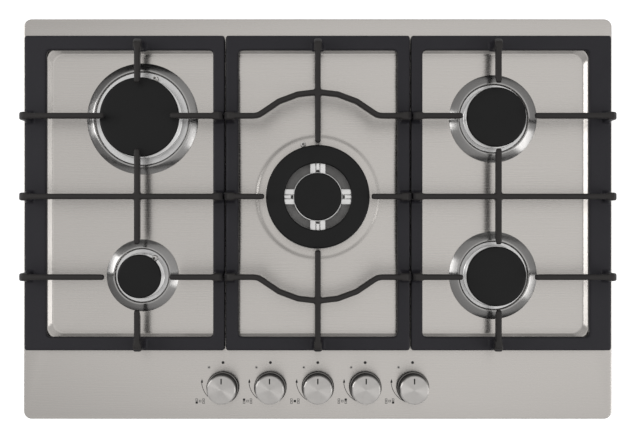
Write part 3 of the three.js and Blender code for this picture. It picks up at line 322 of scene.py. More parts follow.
def face_along_y(piece: Piece, place: Vector) -> Piece:
    """Turns a piece that was spun about the upright axis so that it points to the rear, and moves it.

    Args:
        piece: The piece, spun at the origin.
        place: Where its origin goes.

    Returns:
        The piece.
    """
    piece.rotation_euler = (-math.pi / 2, 0, 0)
    piece.location = place
    activate(piece)
    return named(piece.name)


def mm(x: float, y: float, z: float) -> Vector:
    """A place or a size in millimetres, as a vector in metres."""
    return Vector((x * MM, y * MM, z * MM))


def off(radius: float, height: float, *steps: Point) -> list[Point]:
    """Points of a profile, each given by its steps from a radius and a height."""
    return [(radius + a, height + b) for a, b in steps]


def arm(reach: float, degrees: float, middle: Point = (0.0, 0.0)) -> Point:
    """A point at a distance and an angle from a middle, in the middle's unit."""
    angle = math.radians(degrees)
    return (middle[0] + reach * math.cos(angle), middle[1] + reach * math.sin(angle))


# ---- Finishes ----


def grey(level: float, warmth: float = 0.0) -> Colour:
    """A linear grey, in which red gains on blue by a share."""
    return (level * (1 + warmth), level, level * (1 - warmth))


def shade(tone: Colour, factor: float = 1.0) -> tuple[float, ...]:
    """A tone made darker or lighter, as a full colour for a socket."""
    return (*(c * factor for c in tone), 1.0)


@dataclass
class Nodes:
    """A tree of shader nodes being put together."""

    tree: bpy.types.NodeTree

    def feed(self, target: Socket, value: object) -> None:
        """Links an output to an input, or sets the input's value.

        Args:
            target: The input.
            value: The output or the value.
        """
        if isinstance(value, Socket):
            self.tree.links.new(value, target)
        else:
            target.default_value = value

    def add(self, kind: str, output: str | int, inputs: dict[str | int, object],
            **settings: object) -> Socket:
        """Adds a node.

        Args:
            kind: The node's type, without its prefix.
            output: Which of its outputs is wanted.
            inputs: Its inputs, with the values or the outputs that feed them.
            settings: Its properties and their values.

        Returns:
            The output.
        """
        node = self.tree.nodes.new("ShaderNode" + kind)
        for key, value in settings.items():
            setattr(node, key, value)
        for key, value in inputs.items():
            self.feed(node.inputs[key], value)
        return node.outputs[output]

    def apply(self, kind: str, operation: str, *values: object) -> Socket:
        """A sum, a product or the like of values or vectors."""
        return self.add(kind, 0, dict(enumerate(values)), operation=operation)

    def noise(self, vector: Socket, scale: float = 1.0, detail: float = 3.0,
              roughness: float = 0.55) -> Socket:
        """A noise pattern, with the strength of its fine octaves as its roughness."""
        inputs = {"Vector": vector, "Scale": scale, "Detail": detail, "Roughness": roughness}
        return self.add("TexNoise", "Fac", inputs)

    def spread(self, source: Socket, low: float, high: float, first: float, last: float) -> Socket:
        """Maps a value from one range, low to high, to another, first to last."""
        inputs = {"Value": source, "From Min": low, "From Max": high, "To Min": first, "To Max": last}
        return self.add("MapRange", "Result", inputs)

    def blend(self, factor: Socket, first: object, second: object) -> Socket:
        """Mixes two colours, by how much of the second there is."""
        return self.add("Mix", 2, {"Factor": factor, 6: first, 7: second}, data_type="RGBA")

    def mottle(self, pattern: Socket, edge: float, tone: Colour, dark: float, light: float) -> Socket:
        """A tone between two shades of itself, as a pattern goes from an edge to the opposite one."""
        share = self.spread(pattern, edge, 1 - edge, 0, 1)
        return self.blend(share, shade(tone, dark), shade(tone, light))


class Recipe(Nodes):
    """A procedural material with one shader, in the piece's own coordinates."""

    def __init__(self, name: str) -> None:
        """Starts the material.

        Args:
            name: The material's name.
        """
        self.material = bpy.data.materials.new(name)
        self.material.use_nodes = True
        super().__init__(self.material.node_tree)
        self.inputs = self.tree.nodes["Principled BSDF"].inputs
        self.place = self.add("TexCoord", "Object", {})

    def set(self, **inputs: object) -> None:
        """Feeds the shader's own sockets, named with underscores for spaces."""
        for key, value in inputs.items():
            self.feed(self.inputs[key.replace("_", " ")], value)

    def stretched(self, scale: Place) -> Socket:
        """The piece's coordinates, stretched along each axis."""
        return self.apply("VectorMath", "MULTIPLY", self.place, scale)

    def relief(self, height: Socket, depth: float, strength: float) -> None:
        """Adds a bump on top of the ones already there.

        Args:
            height: Its pattern.
            depth: Its depth in metres.
            strength: How much of it shows.
        """
        inputs = {"Normal": link.from_socket for link in self.inputs["Normal"].links}
        inputs |= {"Strength": strength, "Distance": depth, "Height": height}
        self.set(Normal=self.add("Bump", "Normal", inputs))


@dataclass(frozen=True)
class BrushedSheet:
    """Stainless sheet brushed along X."""

    name: str = "brushed_steel"
    tone: Colour = grey(0.51, 0.05)
    roughness: float = 0.27
    anisotropy: float = 0.85
    grain: float = 0.012

    def material(self) -> Material:
        """Brush lines in colour, gloss and relief, with faint cloudy patches.

        Returns:
            The material.
        """
        recipe = Recipe(self.name)
        lines = recipe.noise(recipe.stretched((9, 2600, 2600)), 1.0, 4.0, 0.6)
        wide_lines = recipe.noise(recipe.stretched((2.5, 700, 700)))
        clouds = recipe.noise(recipe.place, 7.0)
        fine, broad = (recipe.mottle(pattern, 0.3, self.tone, 1 - self.grain, 1 + self.grain)
                       for pattern in (lines, wide_lines))
        recipe.set(Metallic=1.0, Anisotropic=self.anisotropy,
                   Base_Color=recipe.blend(recipe.spread(clouds, 0.35, 0.65, 0.2, 0.4), fine, broad),
                   Roughness=recipe.spread(lines, 0.3, 0.7, self.roughness - 0.015, self.roughness + 0.015),
                   Tangent=recipe.add("CombineXYZ", 0, {"Y": 1.0}))
        recipe.relief(lines, 0.00001, 0.05)
        recipe.relief(clouds, 0.0005, 0.06)
        return recipe.material


@dataclass(frozen=True)
class SpunMetal:
    """Metal with fine grooves round an upright axis."""

    name: str
    centre: Point  # in millimetres
    tone: Colour
    roughness: float
    anisotropy: float
    pitch: float = 2600.0

    def material(self) -> Material:
        """Rings in gloss and relief, with highlights that spread across them.

        Returns:
            The material.
        """
        recipe = Recipe(self.name)
        moved = recipe.apply("VectorMath", "SUBTRACT", recipe.place, mm(*self.centre, 0))
        level = recipe.apply("VectorMath", "MULTIPLY", moved, (1, 1, 0))
        length = recipe.apply("VectorMath", "LENGTH", level).node.outputs["Value"]
        rings = recipe.noise(recipe.add("CombineXYZ", 0, {"X": length}), self.pitch, 3.0, 0.6)
        wear = recipe.noise(recipe.place, 180.0)
        gloss = recipe.spread(rings, 0.3, 0.7, self.roughness - 0.04, self.roughness + 0.04)
        recipe.set(Metallic=1.0, Anisotropic=self.anisotropy,
                   Base_Color=recipe.mottle(rings, 0.3, self.tone, 0.9, 1.0),
                   Roughness=recipe.apply("Math", "ADD", gloss, recipe.spread(wear, 0.35, 0.65, 0, 0.05)),
                   Tangent=recipe.apply("VectorMath", "NORMALIZE", level))
        recipe.relief(rings, 0.00002, 0.3)
        return recipe.material

    def dress(self, piece: Piece) -> None:
        """Gives a whole piece this finish."""
        clothe(piece, self.material())


@dataclass(frozen=True)
class CastCoat:
    """A coated casting: dull enamel on iron, or bare cast metal, with a sandy surface."""

    name: str
    tone: Colour
    metallic: float = 0.0
    specular: float = 0.25
    roughness: float = 0.5
    grain: float = 900.0
    relief: float = 0.00012
    mottle: float = 0.25
    top_tone: Colour | None = None
    top_from: float = 0.09
    top_to: float = 0.0995

    def material(self) -> Material:
        """Mottled colour, uneven gloss and a sandy relief, paler towards a worn top where there is one.

        Returns:
            The material.
        """
        recipe = Recipe(self.name)
        sand = recipe.noise(recipe.place, self.grain, 3.0, 0.6)
        patches = recipe.noise(recipe.place, 38.0)
        speckle = recipe.mottle(sand, 0.35, self.tone, 1 - self.mottle, 1 + self.mottle)
        colour = recipe.blend(recipe.spread(patches, 0.35, 0.65, 0, 0.6), speckle, shade(self.tone))
        # Above a height the colour turns paler and warmer, towards the top tone.
        if self.top_tone:
            height = recipe.add("SeparateXYZ", "Z", {0: recipe.place})
            share = recipe.spread(height, self.top_from, self.top_to, 0, 0.85)
            colour = recipe.blend(share, colour, shade(self.top_tone))
        gloss = recipe.spread(sand, 0.35, 0.65, self.roughness - 0.05, self.roughness + 0.05)
        uneven = recipe.spread(patches, 0.35, 0.65, -0.05, 0.05)
        recipe.set(Metallic=self.metallic, Specular_IOR_Level=self.specular, Base_Color=colour,
                   Roughness=recipe.apply("Math", "ADD", gloss, uneven))
        recipe.relief(sand, self.relief, 0.5)
        recipe.relief(patches, 0.0004, 0.15)
        return recipe.material


@dataclass(frozen=True)
class Spangle:
    """Zinc-coated sheet with its flower-like crystals."""

    name: str = "zinc_sheet"
    tone: Colour = grey(0.42, -0.01)
    crystals: float = 130.0

    def material(self) -> Material:
        """Crystals of slightly different grey and gloss.

        Returns:
            The material.
        """
        recipe = Recipe(self.name)
        inputs = {"Vector": recipe.place, "Scale": self.crystals}
        crystals = recipe.add("TexVoronoi", "Color", inputs, feature="F1")
        first = recipe.add("SeparateColor", 0, {0: crystals})
        recipe.set(Metallic=1.0, Base_Color=recipe.mottle(first, 0, self.tone, 0.86, 1.12),
                   Roughness=recipe.spread(first.node.outputs[1], 0, 1, 0.36, 0.55))
        recipe.relief(recipe.noise(recipe.place, 420.0), 0.00008, 0.4)
        return recipe.material


@dataclass(frozen=True)
class SoftFoam:
    """Closed-cell foam or rubber, dull and pitted."""

    name: str
    tone: Colour = grey(0.018)
    cells: float = 1600.0
    pits: float = 0.0003

    def material(self) -> Material:
        """Small pits in a dull dark skin.

        Returns:
            The material.
        """
        recipe = Recipe(self.name)
        inputs = {"Vector": recipe.place, "Scale": self.cells}
        distance = recipe.add("TexVoronoi", "Distance", inputs, feature="F1")
        share = recipe.spread(distance, 0, 0.8, 0, 1)
        recipe.set(Specular_IOR_Level=0.25, Roughness=recipe.spread(distance, 0, 0.8, 0.9, 0.7),
                   Base_Color=recipe.blend(share, shade(self.tone), shade(self.tone, 1.7)))
        recipe.relief(distance, self.pits, 0.6)
        return recipe.material


@dataclass(frozen=True)
class Glaze:
    """A smooth non-metal: ceramic, moulded plastic or printing ink."""

    name: str
    tone: Colour
    roughness: float = 0.3
    specular: float = 0.5
    texture: float = 500.0
    depth: float = 0.00003

    def material(self) -> Material:
        """A faintly uneven skin.

        Returns:
            The material.
        """
        recipe = Recipe(self.name)
        skin = recipe.noise(recipe.place, self.texture)
        recipe.set(Specular_IOR_Level=self.specular,
                   Base_Color=recipe.mottle(skin, 0.3, self.tone, 0.88, 1.08),
                   Roughness=recipe.spread(skin, 0.3, 0.7, self.roughness - 0.04, self.roughness + 0.06))
        recipe.relief(skin, self.depth, 0.4)
        return recipe.material


class Finish(Enum):
    """The finishes that several pieces share."""

    PLATE = BrushedSheet()
    # The supports' finger tops are given a paler, warmer tone than the rest.
    IRON = CastCoat("support_enamel", (0.0195, 0.0185, 0.0225), specular=0.22, roughness=0.48,
                    top_tone=(0.026, 0.0235, 0.022))
    CAP = CastCoat("cap_enamel", grey(0.0095), specular=0.16, roughness=0.42, grain=1500.0,
                   relief=0.00004, mottle=0.14)
    ALUMINIUM = CastCoat("cast_aluminium", grey(0.7, 0.01), metallic=1.0, roughness=0.34,
                         grain=1100.0, mottle=0.08)
    # Dark aluminium that stands in for the shade in hollows: painted shade.
    PAINTED_SHADE = CastCoat("painted_shade_aluminium", grey(0.2, 0.02), metallic=1.0, roughness=0.5,
                       grain=800.0, mottle=0.2)
    ZINC = Spangle()
    FOAM = SoftFoam("seal_foam")
    RUBBER = SoftFoam("gland_rubber", grey(0.014), 900.0, 0.0001)
    CERAMIC = Glaze("igniter_ceramic", grey(0.78, 0.03), 0.22)
    PLASTIC = Glaze("black_plastic", grey(0.005), 0.38, 0.12, 1400.0, 0.00005)
    BLACK_INK = Glaze("black_ink", grey(0.012), 0.5, 0.3)
    GREY_INK = Glaze("grey_ink", grey(0.07), 0.5, 0.3)
    WIRE = CastCoat("electrode_wire", grey(0.16, 0.04), metallic=1.0, roughness=0.4, grain=2000.0)
    BRASS = CastCoat("turned_brass", (0.62, 0.44, 0.17), metallic=1.0, roughness=0.28,
                     grain=1300.0, mottle=0.08)
    TUBE = CastCoat("drawn_aluminium", grey(0.6), metallic=1.0, roughness=0.3, grain=700.0, mottle=0.06)
    RAIL = CastCoat("plated_steel", grey(0.42, 0.02), metallic=1.0, roughness=0.3, grain=600.0, mottle=0.08)

    def dress(self, piece: Piece) -> None:
        """Gives a whole piece this finish."""
        clothe(piece, made_material(self))


@cache
def made_material(finish: Finish) -> Material:
    """The material of a shared finish, made the first time it is asked for."""
    return finish.value.material()


def clothe(piece: Piece, material: Material) -> None:
    """Gives a whole piece one material."""
    piece.data.materials.clear()
    piece.data.materials.append(material)


def part_clothe(piece: Piece, material: Material, centre: Point, reach: Point, height: Point) -> None:
    """Gives the faces whose middles lie in a ring about an upright axis a material of their own.

    Args:
        piece: The piece, already dressed.
        material: The material of those faces.
        centre: The axis, in millimetres.
        reach: The ring's inner and outer radius.
        height: Its lower and upper height.
    """
    piece.data.materials.append(material)
    for face in piece.data.polygons:
        x, y, z = face.center / MM
        away = math.hypot(x - centre[0], y - centre[1])
        if reach[0] <= away <= reach[1] and height[0] <= z <= height[1]:
            face.material_index = len(piece.data.materials) - 1


# ---- The cooktop's layout, in millimetres ----


@dataclass(frozen=True)
class BurnerSize:
    """One of the four plain burners."""

    name: str
    centre: Point
    cap: float
    body: float
    ring_outer: float
    ring_inner: float
    igniter_reach: float
    igniter_turn: float
    ports: int

    def pin(self, further: float = 0.0) -> Point:
        """The spark pin's place, or one further out."""
        return arm(self.igniter_reach + further, self.igniter_turn, self.centre)


class Burners(Enum):
    """The four plain burners."""

    FRONT_LEFT = BurnerSize("front_left", (-224, -72), 27.5, 23, 46, 34.7, 28, 53, 22)
    REAR_LEFT = BurnerSize("rear_left", (-224, 128), 50, 44, 71, 60, 53.5, 71, 44)
    REAR_RIGHT = BurnerSize("rear_right", (224, 128), 37.5, 29.5, 56, 44, 35, 60, 32)
    FRONT_RIGHT = BurnerSize("front_right", (224, -72), 37.5, 29.5, 56, 44, 35, 60, 32)


TAPS = {"front_left": -120.8, "rear_left": -60.4, "centre": 0.0, "rear_right": 60.4, "front_right": 120.8}
WOK = (0.0, 28.0)
WOK_PIN = arm(69.5, 105.5, WOK)
PIN_HOLE = 3.5
KNOB_ROW = -214.0
RIM = 60.0
WELL = 55.0
PIN_TOP = 69.0
CROWN_TOP = 76.6
CAP_UNDER = 76.9
CAP_TOP = 82.5
BOSS_DEPTH = 2.6


def add(piece: Piece, finish: Finish | SpunMetal | None, body: str, slot: str, *nodes: str) -> None:
    """Dresses a piece, hangs it on its body and hides the nodes that it replaces.

    Args:
        piece: The piece.
        finish: Its finish, or none where it is dressed already.
        body: The body it moves with.
        slot: The part's material slot; not used.
        nodes: The nodes that it replaces.
    """
    if finish:
        finish.dress(piece)
    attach(piece, body)
    if nodes:
        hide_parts(*nodes)
    LOG.info("%s on %s: %d faces", piece.name, body, len(piece.data.polygons))


# ---- Top plate ----


@dataclass
class TopPlate:
    """The pressed stainless plate: a rim with a folded skirt, a sunk well and a raised disc."""

    width: float = 750.0
    depth: float = 510.0
    corner: float = 10.0
    skirt: float = 53.0
    sheet: float = 1.2
    well_x: float = 345.0
    well_front: float = -152.0
    well_rear: float = 217.0
    well_corner: float = 9.0
    slope: float = 6.0
    edge: float = 1.4
    disc: float = 80.6
    disc_top: float = 74.6
    disc_rise: float = 2.0
    wok_hole: float = 56.6
    tap_hole: float = 6.0
    clear: float = 6.0

    def build(self) -> None:
        """Builds and dresses the plate."""
        plate = self.pressed_sheet()
        combine(plate, self.disc_form(0.0, self.sheet / 2), "UNION")
        combine(plate, self.disc_form(-self.sheet, self.sheet + 3))
        combine(plate, self.holes())
        smooth(tidy_faces(plate), 28)
        add(plate, Finish.PLATE, "cooktop", "plate_steel", "top_plate")

    def pressed_sheet(self) -> Piece:
        """The sheet with its well, its rounded edges and its skirt.

        Returns:
            The piece.
        """
        x, y = self.width / 2, self.depth / 2
        plate = slab("top_plate_sheet", mm(-x, -y, self.skirt), mm(x, y, RIM), self.corner * MM)
        out = self.slope * self.clear / (RIM - WELL)
        # Not by mm(): the plate's triangles, and so its reflections, hang on these corners' last bit.
        low = Vector((-self.well_x - out, self.well_front - out, WELL)) * MM
        high = Vector((self.well_x + out, self.well_rear + out, RIM + self.clear)) * MM
        combine(plate, slab("well", low, high, (self.well_corner + out) * MM, (self.slope + out) * MM))
        press(plate, self.skirt, 30, self.edge, self.sheet)
        return plate

    def disc_form(self, shift: float, depth: float) -> Piece:
        """The shallow disc round the middle burner, or the hollow under it.

        Args:
            shift: How far the form's top is from the sheet's upper face.
            depth: How far the form reaches below the well.

        Returns:
            The piece.
        """
        floor, top, low = WELL + shift, WELL + shift + self.disc_rise, WELL - depth
        foot, crest = self.disc, self.disc_top
        profile = [(0, low), (foot + 1.5, low),
                   *off(foot, floor, (1.5, -0.02), (0.2, 0.1), (-1.0, 0.3), (-1.9, 0.6)),
                   *off(crest, top, (1.9, -0.6), (1.0, -0.3), (-0.2, -0.1), (-1.5, 0)), (0, top)]
        return spun("raised_disc", profile, WOK, 144)

    def holes(self) -> Piece:
        """The cutters for the burners, the igniters and the spindles.

        Returns:
            The joined cutter.
        """
        places = [(*WOK, self.wok_hole), (*WOK_PIN, PIN_HOLE)]
        for burner in Burners:
            size = burner.value
            places += [(*size.centre, size.body + 0.6), (*size.pin(), PIN_HOLE)]
        places += [(x, KNOB_ROW, self.tap_hole) for x in TAPS.values()]
        return pegs("plate_holes", places, WELL - self.clear, RIM + self.clear)


# ---- Pan supports ----


@dataclass
class PanSupport:
    """A cast grate, its bars rounded and run into one another as they come out of the mould."""

    side: str
    grain: float = 1.15
    smoothing: int = 5
    share: float = 0.42

    def build(self) -> None:
        """Reworks a copy of the node's mesh and dresses it."""
        node = f"pan_support_{self.side}"
        grate = bpy.data.objects.new(f"cast_grate_{self.side}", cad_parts[node].data.copy())
        grate.data.materials.clear()
        bpy.context.scene.collection.objects.link(grate)
        activate(grate)
        tidy_faces(named(grate.name))
        modify(grate, "REMESH", mode="VOXEL", voxel_size=self.grain * MM)
        modify(grate, "SMOOTH", factor=0.5, iterations=self.smoothing)
        modify(grate, "DECIMATE", ratio=self.share)
        smooth(grate, 60)
        add(grate, Finish.IRON, f"support_{self.side}", "support_iron", node)


# ---- Burners ----


@dataclass
class BurnerCup:
    """A cast cup that hangs in the plate by its flange."""

    name: str
    centre: Point
    pin: Point
    body: float
    flange: float
    seat: float
    floor: float = 38.3
    bend: float = 0.9
    base: float = 22.0
    steps: int = 72

    def build(self) -> None:
        """Builds the cup, bright on its flange and darker below it, a painted shade of its hollow."""
        body, flange, seat, top, floor = self.body, self.flange, self.seat, self.seat + 3, self.floor
        profile = [(0, self.base), *off(body, self.base, (-10, 0), (-8.6, 0.4), (-0.6, 5.4), (0, 6.6)),
                   (body, seat), *off(flange, seat, (-0.3, 0), (0, 0.3)),
                   *off(flange, top, (0, -0.7), (-0.7, 0)), *off(body, top, (-2.4, 0), (-3, -0.6)),
                   *off(body, floor, (-3, self.bend), (-4, 0)), (0, floor)]
        cup = spun(f"cup_{self.name}", profile, self.centre, self.steps)
        combine(cup, pegs("igniter_hole", [(*self.pin, PIN_HOLE)], seat - 4, top + 4, 24))
        smooth(cup)
        SpunMetal(f"cup_{self.name}_face", self.centre, grey(0.68, 0.008), 0.3, 0.35, 1800.0).dress(cup)
        # Painted shade: the cup's hollow below the flange gets the dark aluminium.
        part_clothe(cup, made_material(Finish.PAINTED_SHADE), self.centre, (0, flange), (0, seat + 2.2))
        add(cup, None, "cooktop", "cup_aluminium", f"burner_cup_{self.name}")


@dataclass
class PlainBurner:
    """A cup in the plate, a spun trim ring, a slotted head, an enamelled cap and a spark electrode."""

    size: BurnerSize
    head: float = 58.6
    seat: float = 55.3
    collar: float = 53.5
    port_width: float = 1.8
    port_depth: float = 7.0

    def build(self) -> None:
        """Builds and dresses the burner's pieces."""
        size = self.size
        BurnerCup(size.name, size.centre, size.pin(), size.body, size.ring_inner - 0.6, self.seat).build()
        self.ring()
        self.spreader()
        round_cap(size.name, size.cap, size.cap - 9.4, size.centre)
        build_igniter(size.name, size.pin(), self.collar)

    def ring(self) -> None:
        """The spun steel ring that hides the gap between plate and cup."""
        size = self.size
        outer, inner, low, high = size.ring_outer, size.ring_inner, self.seat, WELL + 6.2
        profile = [*off(outer, low, (-0.2, 0), (0, 0.3), (-0.05, 0.75), (-0.5, 1.05)),
                   *off(inner, high, (2.8, -0.55), (2.0, -0.15), (1.2, 0), (0.4, -0.15), (-0.2, -0.8)),
                   *off(inner, low, (-0.7, 3.8), (-1.0, 3.4), (-0.5, 3.3), (0.1, 3.7)),
                   *off(inner, high, (0.6, -1.2), (1.4, -0.8), (2.6, -1.4)), (outer - 0.9, low + 0.1)]
        ring = spun(f"spun_ring_{size.name}", profile, size.centre, 128)
        steel = SpunMetal(f"ring_steel_{size.name}", size.centre, grey(0.36, 0.02), 0.18, 0.4, 900.0)
        add(ring, steel, "cooktop", "trim_steel", f"trim_ring_{size.name}")

    def spreader(self) -> None:
        """The cast head with its flame ports."""
        size, low, top, name = self.size, self.head, CROWN_TOP, self.size.name
        rim, crown, inner = size.cap + 1.5, size.cap - 3, size.cap - 8.5
        profile = [(9, low - 9), (12, low - 9), (12, low),
                   *off(rim, low, (-0.5, 0), (0, 0.5), (0, 2.0), (-0.5, 2.5), (-1.2, 2.7)),
                   *off(crown, low, (0.6, 3.5), (0, 4.0)), *off(crown, top, (0, -0.4), (-0.4, 0)),
                   (inner, top), (inner, low + 3), (9, low + 3)]
        head = spun(f"flame_head_{name}", profile, size.centre)
        height = (top - self.port_depth, top + 4)
        combine(head, slot_comb(size.ports, (inner - 2, crown + 2), self.port_width, height, size.centre))
        notch = mm(*size.pin(6), low + 8)
        combine(head, box("igniter_notch", notch, mm(20, 8, 40), size.igniter_turn))
        smooth(head)
        add(head, Finish.ALUMINIUM, f"spreader_{name}", "spreader_aluminium", f"flame_spreader_{name}")


def add_cap(name: str, profile: list[Point], centre: Point, steps: int) -> None:
    """Spins a cap, dresses it and hangs it on its body."""
    cap = spun(f"enamelled_cap_{name}", profile, centre, steps)
    add(cap, Finish.CAP, f"cap_{name}", "cap_enamel", f"burner_cap_{name}")


def round_cap(name: str, radius: float, boss: float, centre: Point) -> None:
    """A cap with a soft edge, a barely domed top and a boss below.

    Args:
        name: The cap's name.
        radius: Its radius.
        boss: The boss's radius.
        centre: Its axis.
    """
    under, top, foot = CAP_UNDER, CAP_TOP, CAP_UNDER - BOSS_DEPTH
    profile = [(0, foot), (boss - 0.4, foot), (boss, foot + 0.4), (boss, under),
               *off(radius, under, (-0.6, 0), (-0.1, 0.3), (0, 0.9)),
               *off(radius, top, (0, -2.5), (-0.15, -1.8), (-0.6, -1.15), (-1.3, -0.72), (-2.4, -0.5)),
               (radius * 0.75, top - 0.2), (radius * 0.4, top - 0.04), (0, top)]
    add_cap(name, profile, centre, 128)


def build_igniter(name: str, centre: Point, collar: float) -> None:
    """A glazed ceramic pin with a collar and a wire tip.

    Args:
        name: The burner's name.
        centre: The pin's axis.
        collar: The height of the collar's top.
    """
    top, low = PIN_TOP, collar - 3
    profile = [*off(0, low, (0, -16), (2.6, -16), (3, -15.6), (3, 0), (4.2, 0), (4.6, 0.4)),
               *off(0, collar, (4.6, -0.4), (4.2, 0), (3, 0)),
               *off(0, top, (3, -1.0), (2.7, -0.35), (2.1, -0.05), (1.5, 0), (1.1, 0), (1.1, 2.0),
                    (0.8, 2.4), (0, 2.5))]
    pin = spun(f"spark_pin_{name}", profile, centre, 32)
    Finish.CERAMIC.dress(pin)
    part_clothe(pin, made_material(Finish.WIRE), centre, (0, 1.3), (top - 0.02, top + 4))
    add(pin, None, "cooktop", "igniter_ceramic", f"igniter_{name}")


@dataclass
class TripleRingBurner:
    """The wide middle burner: two rings of ports in one channel, and a small crown in the middle."""

    seat: float = 57.3
    head: float = 60.6
    collar: float = 55.5
    ring_outer: float = 65.0
    ring_inner: float = 42.0
    hub: float = 27.0
    wall: float = 3.5
    port: float = 1.8
    bridge: float = 19.0
    slot_offset: float = 2.5
    slot_width: float = 1.7

    def build(self) -> None:
        """Builds and dresses the burner's pieces."""
        BurnerCup("centre", WOK, WOK_PIN, 56.0, 64.0, self.seat, 40.3, 1.1, steps=96).build()
        self.spreader()
        self.ring_cap()
        round_cap("centre_inner", 30, 22.6, WOK)
        build_igniter("centre", WOK_PIN, self.collar)

    def spreader(self) -> None:
        """The cast head: sleeve, floor, channel, crown with its rim and four finned bridges."""
        low, top, floor, ledge, hub = self.head, CROWN_TOP, self.head + 3, CROWN_TOP - 7, self.hub
        outer, inner, wall = self.ring_outer - 3, self.ring_inner + 3, self.wall
        below = [(9, low - 9), (12, low - 9), (12, low), (65, low), (66, low + 1), (66, floor - 0.5)]
        channel = [(65.4, floor), *off(outer, floor, (0.5, 1), (0, 1.6)),
                   *off(outer, top, (0, -0.4), (-0.4, 0), (-wall, 0)), (outer - wall, floor),
                   (inner + wall, floor), *off(inner, top, (wall, 0), (0.4, 0), (0, -0.4)),
                   (inner, floor + 0.6)]
        crown = [(inner - 0.6, floor), *off(hub, floor, (0.6, 0), (0, 0.6)),
                 *off(hub, ledge, (0, -2.4), (4.1, -2.4), (4.5, -2.0), (4.5, -0.8), (4.0, -0.3), (0.4, 0),
                      (0, 0.4)),
                 *off(hub, top, (0, -0.4), (-0.4, 0), (-wall, 0)), (hub - wall, floor), (9, floor)]
        head = spun("flame_head_centre", below + channel + crown, WOK, 144)
        for count, reach, start, skew in ((56, (outer - 4.5, outer + 2), ledge, 0.0),
                                          (28, (inner - 2, inner + 4.5), ledge, 6.4),
                                          (16, (hub - 4.5, hub + 1), ledge + 0.5, 11.25)):
            combine(head, slot_comb(count, reach, self.port, (start, top + 4), WOK, skew))
        for quarter in range(4):
            combine(head, self.finned_bridge(quarter), "UNION")
        smooth(head)
        Finish.ALUMINIUM.dress(head)
        # Painted shade: the floor between crown and channel gets the dark aluminium.
        painted_shade = (hub, self.ring_inner + 2)
        part_clothe(head, made_material(Finish.PAINTED_SHADE), WOK, painted_shade, (0, low + 3.4))
        add(head, None, "spreader_centre", "spreader_aluminium", "flame_spreader_centre")

    def finned_bridge(self, quarter: int) -> Piece:
        """A bridge from the crown to the channel, with two slots and a notch that leave three fins.

        Args:
            quarter: Which quarter it points to.

        Returns:
            The bridge.
        """
        near, far, turn = self.hub - 1.2, self.ring_inner + 4.6, 90 * quarter
        middle = arm((near + far) / 2, turn, WOK)
        size = mm(far - near, self.bridge, CROWN_TOP - self.head)
        bridge = box(f"bridge_{quarter}", mm(*middle, (self.head + CROWN_TOP) / 2), size, turn)
        modify(bridge, "BEVEL", width=0.5 * MM, segments=2, limit_method="ANGLE")
        cuts = [(arm(side * self.slot_offset, turn + 90, middle), far - near + 8, self.slot_width)
                for side in (-1, 1)]
        cuts.append((arm(self.hub + 2, turn, WOK), 10, 2 * self.slot_offset - 0.4))
        for number, (start, length, width) in enumerate(cuts):
            size = mm(length, width, 24 + number)
            combine(bridge, box(f"bridge_cut_{number}", mm(*start, CROWN_TOP), size, turn))
        return bridge

    def ring_cap(self) -> None:
        """The ring-shaped cap over the channel."""
        outer, inner, under, foot = self.ring_outer, self.ring_inner, CAP_UNDER, CAP_UNDER - BOSS_DEPTH
        edge = [(0, -2.2), (0.2, -1.4), (0.7, -0.7), (1.5, -0.25), (3, -0.05), (6, 0)]
        profile = [(inner + 0.4, under), (54.5, under), (54.5, foot), (57.5, foot), (57.5, under),
                   *off(outer, under, (-0.6, 0), (-0.1, 0.3), (0, 0.9)),
                   *off(outer, CAP_TOP, *((-a, b) for a, b in edge)), *off(inner, CAP_TOP, *reversed(edge)),
                   (inner, under + 0.5)]
        add_cap("centre_ring", profile, WOK, 144)


# ---- Knobs ----


